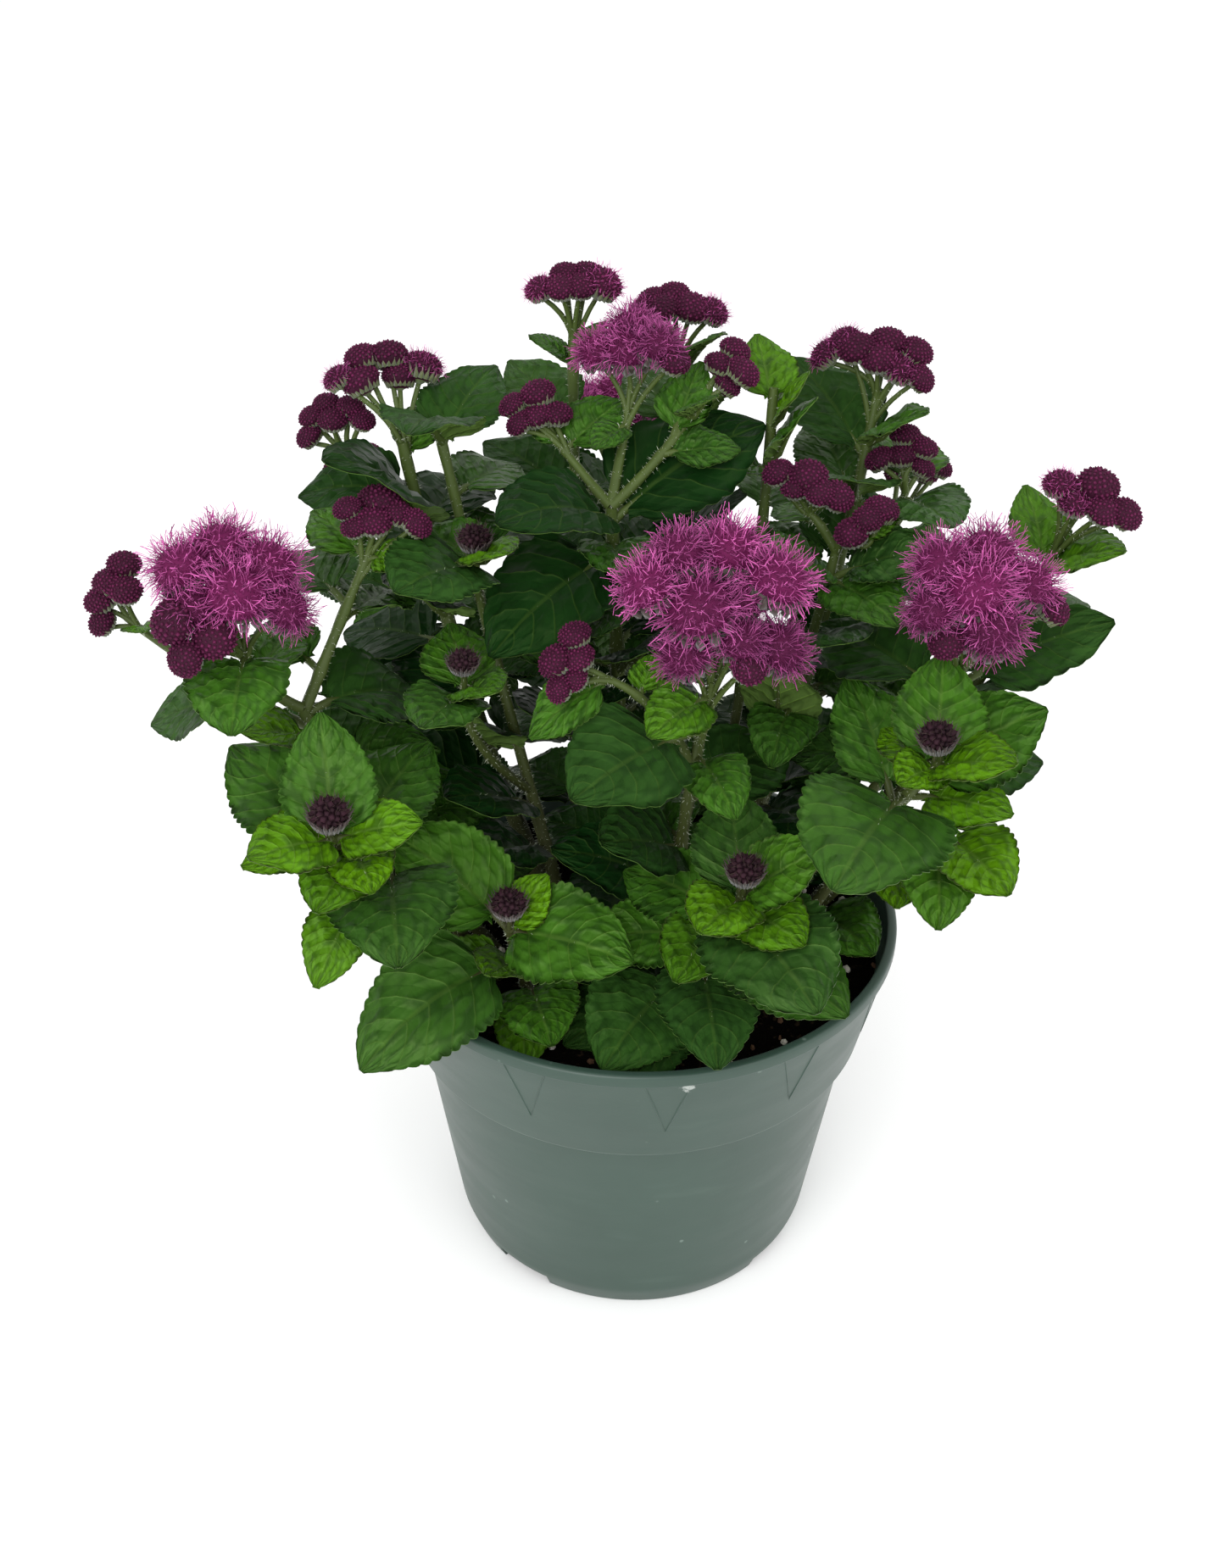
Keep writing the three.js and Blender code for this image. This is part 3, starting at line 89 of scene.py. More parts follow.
# Every shoot is one leafy stem with its branches. Its tone runs from old dark leaves, 0, to fresh
# ones, 1. A stem is its start, bend, tip and radius: the first starts at a root, (x, y) on the
# soil, and a branch at its parent and the place along it. A leaf is its stem, place along it,
# compass direction, rise, stalk length, blade length, blade width and droop. A flower is its
# name, stem, kind and heads, and a head is its centre and radius.
SHOOTS = tuple(Shoot(*row) for row in (
    ("rosette_front", 0.85, (
        ((-30, -28), (-36, -40, 128), (-36, -50, 144), 2.0),
    ), (
        (0, 0.5, -141, 17, 12, 46, 37, 60), (0, 0.93, -28, 18, 3, 36, 32, 25),
        (0, 0.94, 165, 45, 8, 37, 32, 25), (0, 0.97, 62, 61, 2, 20, 19, 20),
        (0, 0.2, -91, 11, 8, 24, 19, 40), (0, 0.25, -76, 26, 8, 28, 25, 35),
        (0, 0.4, -109, 51, 6, 24, 21, 35), (0, 0.5, 157, 0, 6, 24, 19, 30),
    ), (
        ("young_front", 0, "young", ((-36, -52, 154, 5.5),)),
    )),
    ("rosette_left", 0.65, (
        ((-38, -22), (-64, -34, 155), (-82, -58, 179), 2.0),
    ), (
        (0, 0.97, 141, 29, 4, 38, 33, 20), (0, 0.97, 103, 46, 3, 31, 26, 20),
        (0, 0.97, -10, 47, 3, 23, 20, 20), (0, 0.97, -136, 30, 3, 24, 23, 20),
        (0, 0.88, 60, 32, 6, 34, 30, 25), (0, 0.86, -71, 18, 4, 20, 19, 30),
        (0, 0.8, -108, 31, 6, 24, 23, 35), (0, 0.66, -69, 19, 8, 36, 36, 40),
        (0, 0.86, -148, 18, 14, 18, 14, 30), (0, 0.7, -112, -1, 18, 24, 19, 40),
    ), (
        ("young_left", 0, "young", ((-81, -60, 188, 6),)),
    )),
    ("rosette_middle", 0.6, (
        ((6, -30), (20, -40, 132), (27, -60, 163), 2.0),
    ), (
        (0, 0.97, 94, 39, 3, 31, 26, 20), (0, 0.97, -6, 51, 3, 25, 23, 20),
        (0, 0.97, -118, 23, 3, 24, 22, 20), (0, 0.88, -54, 25, 5, 24, 23, 30),
        (0, 0.82, -65, 27, 8, 40, 38, 40), (0, 0.7, -115, 26, 6, 26, 23, 40),
        (0, 0.6, -42, 18, 10, 38, 32, 40), (0, 0.45, -86, 21, 12, 36, 30, 45),
        (0, 0.3, -124, 15, 10, 34, 35, 45), (0, 0.15, -143, 4, 8, 32, 28, 45),
        (0, 0.55, -177, 36, 6, 20, 16, 30), (0, 0.8, 125, 15, 6, 30, 28, 30),
        (0, 0.6, 175, 26, 8, 28, 25, 35), (0, 0.2, -103, 23, 12, 32, 28, 45),
    ), (
        ("young_middle", 0, "young", ((27, -62, 173, 5.5),)),
    )),
    ("rosette_right", 0.7, (
        ((38, -14), (62, -26, 160), (77, -50, 199), 2.0),
    ), (
        (0, 0.97, 81, 41, 3, 29, 26, 20), (0, 0.97, -50, 37, 3, 25, 22, 20),
        (0, 0.97, 119, 16, 3, 20, 19, 20), (0, 0.97, -131, 20, 2, 16, 16, 20),
        (0, 0.84, 13, 45, 8, 34, 32, 30), (0, 0.8, -37, 27, 8, 24, 21, 30),
        (0, 0.8, -118, 19, 10, 42, 42, 35), (0, 0.74, 114, 58, 8, 32, 26, 30),
    ), (
        ("young_right", 0, "young", ((75, -52, 208, 5.5),)),
    )),
    ("leafy_stem_low_right", 0.8, (
        ((46, 2), (66, -4, 140), (89, -22, 158), 1.8),
    ), (
        (0, 0.97, -60, 8, 4, 25, 26, 30), (0, 0.93, -96, 6, 5, 28, 24, 40), (0, 0.95, 50, 21, 4, 22, 19, 25),
        (0, 0.7, -97, 25, 8, 24, 19, 30), (0, 0.2, -68, 31, 6, 28, 25, 40),
    ), (
    )),
    ("bloom_stem_middle", 0.42, (
        ((10, -12), (10, -30, 165), (18, -38, 216), 2.0),
        ((0, 0.72), (2, -42, 216), (-12, -38, 217), 1.5),
    ), (
        (0, 0.84, -134, 15, 15, 34, 35, 30), (0, 0.95, -133, 7, 4, 20, 19, 25),
        (0, 0.6, 41, 23, 8, 32, 29, 30), (1, 0.9, -143, -6, 3, 23, 18, 30),
        (0, 0.45, -143, 32, 4, 28, 30, 25), (0, 0.3, -164, 48, 10, 34, 27, 35),
        (1, 0.6, 67, 42, 2, 12, 10, 20), (0, 0.1, -120, 10, 12, 32, 29, 35),
    ), (
        ("bloom_middle", 0, "open", (
            (13, -44, 240, 11.5), (0, -42, 245, 9), (8, -34, 250, 9), (21, -30, 249, 10.5),
            (33, -36, 244, 10.5), (10, -46, 228, 8), (34, -42, 228, 9), (24, -46, 232, 7.5),
            (26, -49, 226, 5), (24, -38, 240, 7),
        )),
        ("cluster_small", 1, "bud", (
            (-18, -36, 228, 4.5), (-23, -39, 222, 5), (-17, -39, 223, 4.5), (-18, -41, 218, 4),
            (-22, -43, 216, 4),
        )),
    )),
    ("bloom_stem_right", 0.25, (
        ((34, 0), (72, -4, 165), (87, -28, 220), 2.0),
    ), (
        (0, 0.84, 132, 24, 10, 36, 34, 35), (0, 0.84, -3, 45, 14, 36, 29, 30),
        (0, 0.62, 75, 29, 8, 30, 25, 35), (0, 0.14, 12, 35, 12, 32, 28, 35),
    ), (
        ("bloom_right", 0, "open", (
            (84, -34, 241, 11), (76, -28, 245, 9.5), (88, -24, 246, 10), (99, -26, 239, 9),
            (73, -36, 236, 8), (88, -38, 232, 10), (106, -26, 232, 5.5), (77, -40, 229, 5),
        )),
    )),
    ("bloom_stem_left", 0.35, (
        ((-40, -6), (-80, -14, 160), (-92, -28, 201), 2.2),
        ((0, 1), (-102, -32, 208), (-107, -30, 224), 1.7),
        ((0, 0.98), (-85, -20, 214), (-72, -12, 242), 1.7),
        ((0, 0.9), (-124, -5, 197), (-146, 5, 211), 1.5),
    ), (
        (1, 0.8, -88, 3, 4, 26, 28, 35), (1, 0.35, 170, -6, 14, 26, 25, 30),
        (0, 0.97, 39, 17, 8, 38, 30, 70), (1, 0.55, 77, 24, 4, 20, 18, 25), (2, 0.3, 136, 21, 6, 22, 18, 25),
        (0, 0.62, 140, 50, 8, 30, 29, 50), (0, 0.4, 150, 45, 8, 30, 29, 50),
        (0, 0.85, -141, 37, 8, 20, 16, 20), (2, 0.93, -23, 18, 3, 14, 13, 20),
        (2, 0.93, 132, 25, 4, 22, 19, 25), (2, 0.7, 130, 18, 8, 28, 22, 30), (2, 0.6, 71, 4, 8, 28, 26, 30),
        (3, 0.9, -70, 39, 3, 14, 12, 30),
    ), (
        ("bloom_left", 1, "open", (
            (-104, -36, 239, 11), (-118, -32, 244, 9.5), (-109, -24, 246, 10), (-97, -28, 243, 10),
            (-92, -34, 234, 8), (-115, -38, 236, 8.5), (-119, -42, 234, 6.5), (-109, -43, 230, 6),
            (-116, -47, 226, 5),
        )),
        ("cluster_left", 2, "bud", (
            (-78, -12, 252, 4), (-70, -7, 252, 6), (-71, -13, 249, 5), (-76, -14, 248, 4),
            (-65, -10, 250, 4.5), (-60, -12, 248, 4.5),
        )),
        ("cluster_far_left", 3, "bud", (
            (-145, 8, 226, 5), (-149, 5, 222, 5), (-152, 4, 217, 5), (-144, 2, 221, 5), (-152, 2, 211, 4.5),
        )),
    )),
    ("bud_stem_upper_left", 0.15, (
        ((-24, 8), (-52, 8, 180), (-66, 15, 260), 2.2),
        ((0, 0.88), (-78, 22, 250), (-85, 25, 254), 1.5),
    ), (
        (0, 0.84, -137, 51, 6, 42, 34, 65), (0, 0.9, 167, 18, 6, 30, 25, 45),
        (0, 0.84, 73, 20, 8, 32, 28, 35), (0, 0.97, 54, 56, 3, 18, 14, 25),
        (0, 0.68, -112, 56, 4, 30, 29, 35), (0, 0.62, 148, 9, 10, 34, 29, 35),
        (0, 0.52, 148, 7, 10, 34, 28, 30), (0, 0.4, -103, 60, 8, 34, 32, 30),
        (0, 0.14, 170, 20, 12, 34, 30, 35), (0, 0.32, 165, 25, 10, 34, 30, 35),
        (0, 0.5, 140, 50, 8, 30, 29, 50), (0, 0.7, 115, 50, 8, 30, 28, 50),
    ), (
        ("cluster_upper_left", 0, "bud", (
            (-83, 20, 276, 4.5), (-77, 21, 275, 5.5), (-67, 25, 275, 5), (-61, 27, 277, 6),
            (-77, 25, 280, 5), (-70, 27, 280, 5.5),
        )),
        ("cluster_left_back", 1, "bud", (
            (-92, 26, 263, 4), (-86, 24, 263, 4.5), (-88, 28, 266, 4), (-81, 26, 266, 4), (-93, 24, 258, 4),
            (-78, 24, 263, 4),
        )),
    )),
    ("leafy_stem_left", 0.35, (
        ((-18, -6), (-40, 0, 190), (-56, 15, 264), 2.0),
        ((0, 0.6), (-46, -6, 227), (-45, -10, 236), 1.5),
        ((0, 0.34), (-51, -20, 185), (-47, -34, 211), 1.5),
    ), (
        (0, 0.97, -99, 60, 3, 34, 28, 70), (0, 0.97, 63, 27, 3, 30, 24, 40),
        (0, 0.88, 58, 13, 5, 26, 23, 30), (0, 0.74, 131, 10, 6, 28, 25, 30),
        (1, 0.97, 130, 33, 3, 24, 21, 25), (1, 0.97, -58, 42, 3, 20, 18, 25),
        (1, 0.9, -122, 28, 5, 30, 32, 35), (2, 0.95, 104, 35, 3, 22, 21, 25),
        (2, 0.95, -55, 40, 3, 18, 17, 25), (2, 0.9, -106, 42, 5, 26, 23, 30),
        (0, 0.3, -127, 47, 12, 34, 28, 30), (0, 0.22, -121, 43, 12, 30, 25, 30),
        (0, 0.12, -75, 22, 14, 34, 30, 35),
    ), (
        ("young_left_top", 1, "young", ((-45, -12, 244, 5),)),
        ("young_left_low", 2, "young", ((-47, -36, 220, 4.5),)),
    )),
    ("bud_stem_top", 0.1, (
        ((-4, 4), (-6, 2, 190), (-9, 0, 248), 2.2),
        ((0, 1), (-16, 8, 253), (-24, 15, 261), 1.6),
        ((0, 1), (-7, 10, 258), (-4, 18, 270), 1.6),
        ((0, 1), (4, 8, 258), (13, 16, 269), 1.6),
    ), (
        (0, 0.96, 27, 29, 6, 46, 37, 35), (0, 0.96, -135, 41, 6, 38, 30, 50),
        (0, 0.88, -132, 14, 8, 42, 34, 35), (0, 0.9, -85, 26, 3, 24, 21, 35),
        (0, 0.8, -101, 14, 5, 24, 19, 30), (1, 0.85, 31, 43, 3, 19, 19, 25),
        (3, 0.9, -61, 52, 3, 14, 13, 25), (3, 0.7, 37, 74, 4, 20, 16, 20), (3, 0.55, 1, 29, 4, 18, 16, 25),
        (1, 0.9, 157, 63, 3, 18, 14, 20), (2, 0.8, -121, 9, 3, 14, 11, 25), (0, 0.9, -40, 42, 8, 32, 26, 35),
        (0, 0.84, 126, 8, 6, 30, 28, 30), (0, 0.84, 58, 8, 6, 30, 28, 30), (0, 0.66, 67, 13, 8, 30, 25, 30),
        (0, 0.6, -64, 53, 10, 30, 25, 30), (0, 0.14, -78, 20, 12, 36, 32, 35),
        (0, 0.32, -73, 63, 8, 34, 32, 35), (0, 0.45, -131, 61, 8, 34, 32, 30),
        (0, 0.38, -132, 45, 8, 30, 28, 30), (0, 0.58, -104, 35, 8, 30, 28, 30),
        (0, 0.5, 62, 7, 8, 32, 30, 30),
    ), (
        ("cluster_top_left", 1, "bud", (
            (-29, 18, 273, 5), (-29, 15, 268, 4.5), (-34, 14, 266, 4), (-36, 17, 270, 4),
            (-24, 16, 268, 4.5),
        )),
        ("bloom_top", 2, "open", (
            (-5, 18, 285, 8.5), (3, 16, 287, 7.5), (-13, 20, 284, 7), (-4, 24, 289, 7.5), (7, 14, 284, 5),
        )),
        ("cluster_top_right", 3, "bud", (
            (20, 22, 280, 4.5), (26, 19, 279, 5), (24, 25, 283, 4.5), (22, 20, 275, 4),
        )),
    )),
    ("bud_stem_back_left", 0.15, (
        ((-14, 22), (-20, 30, 200), (-20, 38, 283), 2.0),
    ), (
        (0, 0.95, -159, 51, 2, 14, 10, 30), (0, 0.95, 20, 58, 2, 13, 10, 20),
        (0, 0.84, 132, 37, 6, 26, 23, 25), (0, 0.72, 140, 32, 8, 30, 25, 35),
        (0, 0.72, 57, 12, 8, 30, 25, 35), (0, 0.6, 124, 22, 8, 32, 29, 30),
        (0, 0.56, 120, 50, 8, 30, 29, 50), (0, 0.7, 135, 50, 8, 30, 28, 50),
        (0, 0.16, 115, 15, 12, 34, 30, 35), (0, 0.42, 150, 20, 10, 34, 30, 35),
        (0, 0.3, -126, 45, 8, 34, 32, 30),
    ), (
        ("cluster_top", 0, "bud", (
            (-29, 36, 296, 4.5), (-23, 34, 297, 4.5), (-18, 35, 297, 4.5), (-12, 38, 297, 6),
            (-22, 39, 299, 4.5), (-16, 40, 299, 4.5),
        )),
    )),
    ("bud_stem_back_right", 0.15, (
        ((8, 26), (10, 38, 200), (10, 52, 276), 2.0),
    ), (
        (0, 0.8, -61, 56, 8, 28, 23, 30), (0, 0.84, 117, 36, 6, 26, 21, 30),
        (0, 0.95, -62, 48, 4, 24, 19, 20), (0, 0.6, -40, 65, 8, 32, 29, 30),
        (0, 0.56, 65, 50, 8, 30, 29, 50), (0, 0.7, 50, 50, 8, 30, 28, 50), (0, 0.16, 60, 15, 12, 34, 30, 35),
        (0, 0.42, 35, 20, 10, 34, 30, 35),
    ), (
        ("cluster_back_top", 0, "bud", (
            (-1, 50, 286, 4.5), (5, 49, 287, 5), (13, 50, 287, 5.5), (19, 50, 286, 5), (8, 55, 289, 5),
            (2, 54, 288, 4.5),
        )),
    )),
    ("leafy_stem_right", 0.4, (
        ((18, 14), (34, 14, 190), (35, 24, 273), 1.8),
    ), (
        (0, 0.97, 103, 50, 3, 20, 18, 20), (0, 0.93, -28, 89, 3, 18, 15, 20),
        (0, 0.86, -121, 61, 5, 24, 21, 30), (0, 0.86, -38, 75, 5, 24, 19, 30),
        (0, 0.66, 55, 29, 6, 28, 24, 30), (0, 0.78, 108, 11, 6, 28, 23, 30),
        (0, 0.5, -111, 68, 8, 34, 32, 30),
    ), (
    )),
    ("bud_stem_upper_right", 0.4, (
        ((26, 20), (56, 22, 190), (66, 40, 267), 2.0),
        ((0, 0.8), (78, 30, 233), (74, 28, 245), 1.5),
    ), (
        (0, 0.88, 124, 44, 5, 36, 29, 30), (0, 0.8, 109, 39, 8, 28, 25, 30),
        (1, 0.85, 79, 51, 5, 23, 23, 20), (0, 0.9, -54, 46, 4, 24, 21, 30), (1, 0.6, -77, 27, 8, 30, 25, 30),
        (0, 0.8, -97, 38, 6, 28, 25, 35), (0, 0.5, -50, 54, 8, 34, 32, 30),
        (0, 0.14, 15, 20, 12, 34, 30, 35), (0, 0.3, -56, 45, 8, 34, 32, 30), (0, 0.5, 35, 50, 8, 30, 29, 50),
        (0, 0.66, 75, 50, 8, 30, 28, 50),
    ), (
        ("cluster_upper_right", 0, "bud", (
            (51, 44, 276, 5), (59, 40, 279, 5.5), (65, 38, 277, 5.5), (71, 38, 274, 5.5), (76, 41, 278, 5),
            (77, 36, 272, 4.5), (56, 44, 280, 5), (68, 43, 280, 5.5),
        )),
        ("cluster_right_back", 1, "bud", (
            (79, 32, 253, 4.5), (73, 31, 251, 4.5), (74, 34, 256, 4.5), (67, 31, 250, 4.5), (79, 30, 248, 4),
        )),
    )),
    ("bud_stem_far_right", 0.45, (
        ((48, 10), (98, 8, 180), (113, 4, 235), 2.0),
    ), (
        (0, 0.95, -49, 41, 4, 23, 22, 25), (0, 0.95, 105, 56, 3, 22, 18, 25),
        (0, 0.75, 40, 16, 10, 30, 24, 35), (0, 0.55, -66, 60, 10, 32, 26, 35),
        (0, 0.4, 15, 15, 10, 34, 30, 35), (0, 0.6, 65, 50, 8, 30, 29, 50), (0, 0.3, 75, 45, 8, 30, 29, 50),
    ), (
        ("cluster_far_right", 0, "bud", (
            (111, 2, 255, 5), (121, 1, 255, 6), (128, -4, 249, 5), (115, -1, 251, 5), (122, -4, 250, 5),
        )),
    )),
    ("bud_stem_right", 0.35, (
        ((22, -2), (42, -4, 180), (53, 4, 234), 2.0),
        ((0, 1), (46, 6, 245), (45, 8, 243), 1.5),
        ((0, 1), (54, 2, 240), (60, 0, 237), 1.5),
    ), (
        (0, 0.92, -141, 49, 5, 24, 21, 25), (0, 0.92, -22, 47, 8, 28, 22, 30),
        (0, 0.92, -60, 30, 6, 26, 23, 35), (2, 0.6, 22, 33, 4, 18, 14, 20), (1, 0.4, 132, 7, 4, 18, 16, 25),
        (0, 0.74, -79, 55, 8, 32, 28, 35), (0, 0.5, -104, 68, 8, 30, 25, 35),
        (0, 0.16, -62, 18, 12, 36, 32, 35), (0, 0.36, -68, 54, 8, 34, 32, 30),
    ), (
        ("cluster_right", 1, "bud", (
            (36, 8, 255, 4.5), (44, 6, 255, 5.5), (52, 4, 250, 5), (41, 6, 252, 4.5), (47, 2, 252, 4.5),
        )),
        ("cluster_right_low", 2, "bud", ((64, 2, 247, 5), (56, -2, 242, 5), (60, -2, 246, 4.5))),
    )),
    ("bud_stem_rear_left", 0.3, (
        ((-26, 26), (-58, 50, 165), (-84, 78, 206), 2.0),
    ), (
        (0, 0.95, 60, 40, 4, 24, 20, 25), (0, 0.95, -120, 30, 4, 24, 20, 25),
        (0, 0.78, 150, 20, 8, 34, 30, 35), (0, 0.78, -35, 30, 8, 30, 25, 30),
        (0, 0.55, 95, 15, 10, 34, 29, 35), (0, 0.55, -160, 0, 10, 32, 26, 35),
        (0, 0.33, 150, 12, 10, 34, 30, 35), (0, 0.36, 55, 15, 10, 34, 30, 35),
        (0, 0.66, 100, 50, 8, 30, 29, 50), (0, 0.45, 105, 45, 8, 30, 29, 50),
        (0, 0.2, 100, 45, 8, 30, 29, 50), (0, 0.5, -170, 45, 8, 30, 28, 50),
    ), (
        ("cluster_rear_left", 0, "bud", (
            (-90, 84, 230, 4.5), (-82, 87, 225, 4.5), (-87, 88, 228, 4.5), (-95, 84, 228, 4.5),
            (-96, 79, 226, 4.5), (-89, 86, 223, 4.5),
        )),
    )),
    ("bloom_stem_rear", 0.3, (
        ((-4, 38), (-6, 72, 165), (-8, 102, 216), 2.0),
    ), (
        (0, 0.9, 20, 35, 8, 32, 26, 30), (0, 0.9, 165, 35, 8, 32, 26, 30), (0, 0.7, 95, 5, 10, 36, 31, 35),
        (0, 0.5, 20, 10, 10, 34, 28, 35), (0, 0.5, 165, 10, 10, 34, 28, 35),
        (0, 0.28, 115, 10, 10, 36, 31, 35), (0, 0.8, 90, 50, 6, 30, 28, 50),
        (0, 0.62, 50, 45, 8, 30, 29, 50), (0, 0.62, 135, 45, 8, 30, 29, 50),
        (0, 0.38, 75, 45, 8, 30, 29, 50), (0, 0.18, 90, 45, 8, 30, 29, 50),
    ), (
        ("bloom_rear", 0, "open", (
            (-8, 106, 243, 8), (4, 106, 238, 8), (-4, 117, 238, 8), (-18, 112, 238, 8), (-18, 99, 238, 8),
            (-4, 106, 234, 8),
        )),
    )),
    ("bud_stem_rear_right", 0.3, (
        ((26, 30), (58, 52, 165), (82, 84, 204), 2.0),
    ), (
        (0, 0.95, 120, 40, 4, 24, 20, 25), (0, 0.95, -55, 35, 4, 24, 20, 25),
        (0, 0.78, 35, 20, 8, 34, 30, 35), (0, 0.78, -150, 40, 8, 30, 25, 30),
        (0, 0.55, 85, 10, 10, 34, 29, 35), (0, 0.55, -15, 0, 10, 32, 26, 35),
        (0, 0.33, 30, 12, 10, 34, 30, 35), (0, 0.36, 125, 15, 10, 34, 30, 35),
        (0, 0.66, 80, 50, 8, 30, 29, 50), (0, 0.45, 75, 45, 8, 30, 29, 50), (0, 0.2, 80, 45, 8, 30, 29, 50),
        (0, 0.5, -10, 45, 8, 30, 28, 50),
    ), (
        ("cluster_rear_right", 0, "bud", (
            (88, 90, 228, 4.5), (96, 90, 224, 4.5), (89, 94, 225, 4.5), (83, 90, 226, 4.5),
            (82, 85, 224, 4.5), (92, 92, 221, 4.5),
        )),
    )),
))


# ---- Settings ----


def colour(name, description, default):
    return bpy.props.FloatVectorProperty(
        name=name, description=description, default=default, subtype="COLOR", min=0, max=1
    )


def length(name, description, default):
    return bpy.props.FloatProperty(
        name=name, description=description, default=default, unit="LENGTH", min=0, precision=5
    )


def amount(name, description, default, **more):
    return bpy.props.FloatProperty(name=name, description=description, default=default, min=0, **more)


def number(name, description, default):
    return bpy.props.IntProperty(name=name, description=description, default=default, min=1)


class PotSettings(bpy.types.PropertyGroup):
    """Sizes and colours of the pot and what fills it"""

    height: length("Height", "Height of the pot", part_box("pot")[1].z)
    rim_radius: length("Rim radius", "Outer radius of the lip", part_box("pot")[1].x)
    wall: length("Wall", "Thickness of the moulded wall", 1.6 * MM)
    sides: number("Sides", "Flat faces round the pot", 144)
    plastic: colour("Plastic", "Colour of the moulded plastic", (0.028, 0.056, 0.042))
    # This colour paints dust and scuffs, and also a painted highlight along the collar's lower edge.
    rubbed_and_highlit: colour("Rubbed plastic", "Colour where the plastic is scuffed", (0.13, 0.18, 0.155))
    soil: colour("Soil", "Colour of the damp soil", (0.003, 0.0026, 0.0022))
    bark: colour("Bark", "Colour of the bark bits in the soil", (0.024, 0.016, 0.01))
    grain: length("Grain", "Size of the largest crumbs of soil", 3.2 * MM)
    crumbs: amount("Crumbs", "Crumbs on a square metre of soil", 60000)


class LeafSettings(bpy.types.PropertyGroup):
    """Sizes and colours of the leaves"""

    thickness: length("Thickness", "Thickness of a blade at its middle", 0.5 * MM)
    pucker: length("Pucker", "Height of the bulges between the side veins", 1.05 * MM)
    teeth: number("Teeth", "Rounded teeth on each side of a large blade", 16)
    wave: amount("Wave", "How far a margin waves, as a share of the width", 0.035, subtype="FACTOR", max=1)
    veins: number("Veins", "Side veins on each half of a blade", 6)
    axil_leaves: number("Axil leaves", "Most small leaves on the bare stretches of the stems", 60)
    # The shaded leaf colour is painted shade for old leaves deep inside the plant.
    shaded: colour("Shaded leaf", "Upper side of an old leaf deep inside the plant", (0.003, 0.02, 0.0035))
    old: colour("Old leaf", "Upper side of a grown leaf", (0.019, 0.058, 0.01))
    middle: colour("Middle leaf", "Upper side of a leaf that is nearly grown", (0.034, 0.11, 0.008))
    fresh: colour("Fresh leaf", "Upper side of a young leaf", (0.08, 0.21, 0.002))
    under: colour("Underside", "Lower side of a leaf", (0.08, 0.14, 0.03))
    vein: colour("Vein", "Colour of the veins", (0.17, 0.3, 0.05))
    # This colour is painted shade down in the net of creases.
    crease_shade: colour("Crease", "Colour down in the creases", (0.008, 0.026, 0.006))


class StemSettings(bpy.types.PropertyGroup):
    """Sizes and colours of the stems and their hairs"""

    sides: number("Sides", "Faces round a stem", 8)
    green: colour("Stem", "Colour of the stems", (0.058, 0.088, 0.018))
    hair: colour("Hair", "Colour of the hairs", (0.5, 0.55, 0.42))
    hair_length: length("Hair length", "Length of the longest hairs", 1.3 * MM)
    hair_width: length("Hair width", "Width of a hair at its root", 0.09 * MM)
    hairs: amount("Hairs", "Hairs on a square metre of stem", 380000)


class HeadSettings(bpy.types.PropertyGroup):
    """Sizes and colours of the flower heads"""

    # Root colours are darker than tip colours: painted shade deep in a head.
    closed: colour("Closed floret", "Colour of a closed floret", (0.045, 0.005, 0.022))
    closed_tip: colour("Floret tip", "Colour of the floret's tip", (0.095, 0.011, 0.048))
    thread: colour("Thread", "Colour of an open floret's threads", (0.54, 0.115, 0.36))
    thread_root: colour("Thread root", "Colour at the threads' roots", (0.16, 0.01, 0.08))
    bract: colour("Bract", "Colour of the cup under a head", (0.13, 0.17, 0.065))
    young: colour("Young floret", "Colour of a young bud", (0.008, 0.003, 0.005))
    young_tip: colour("Young tip", "Colour of a young bud's tips", (0.026, 0.008, 0.014))
    young_hair: colour("Young hair", "Colour of the hairs round a young bud", (0.06, 0.045, 0.034))
    florets: number("Florets", "Florets on a closed head", 124)
    threads: number("Threads", "Threads on an open head", 440)
    tufts: number("Tufts", "Threads on a head that is just opening", 160)
    young_hairs: number("Young hairs", "Hairs round a young bud", 110)
    curl: length("Curl", "How far a thread's tip strays from its straight line", 8 * MM)
    thread_width: length("Thread width", "Width of a thread at its root", 0.25 * MM)
    seed: number("Seed", "Seed of all that is random", 7)


class StageSettings(bpy.types.PropertyGroup):
    """Floor and light"""

    floor: colour("Floor", "Colour of the floor", (0.985, 0.985, 0.985))
    size: length("Floor size", "Side of the square floor", 40.0)
    sky: amount("Sky", "Strength of the even light", 1.03)
    key: amount("Key light", "Power of the large front light", 12, unit="POWER")


class PlantSettings(bpy.types.PropertyGroup):
    """Everything that can be changed on the potted plant"""

    pot: bpy.props.PointerProperty(name="Pot", type=PotSettings)
    leaf: bpy.props.PointerProperty(name="Leaf", type=LeafSettings)
    stem: bpy.props.PointerProperty(name="Stem", type=StemSettings)
    head: bpy.props.PointerProperty(name="Head", type=HeadSettings)
    stage: bpy.props.PointerProperty(name="Stage", type=StageSettings)


# ---- Node trees ----


class Value:
    """What a node puts out, reckoned with like a number: each sign adds a Math node."""

    def __init__(self, nodes, socket):
        self.nodes, self.socket = nodes, socket

    def other(self, name):
        """Another output of the same node."""
        return Value(self.nodes, self.socket.node.outputs[name])

    def __add__(self, other):
        return self.nodes.math("ADD", self, other)

    def __sub__(self, other):
        return self.nodes.math("SUBTRACT", self, other)

    def __rsub__(self, other):
        return self.nodes.math("SUBTRACT", other, self)

    def __mul__(self, other):
        return self.nodes.math("MULTIPLY", self, other)

    def __truediv__(self, other):
        return self.nodes.math("DIVIDE", self, other)

    def __rtruediv__(self, other):
        return self.nodes.math("DIVIDE", other, self)

    def __pow__(self, other):
        return self.nodes.math("POWER", self, other)

    def __abs__(self):
        return self.nodes.math("ABSOLUTE", self)

    __radd__ = __add__
    __rmul__ = __mul__


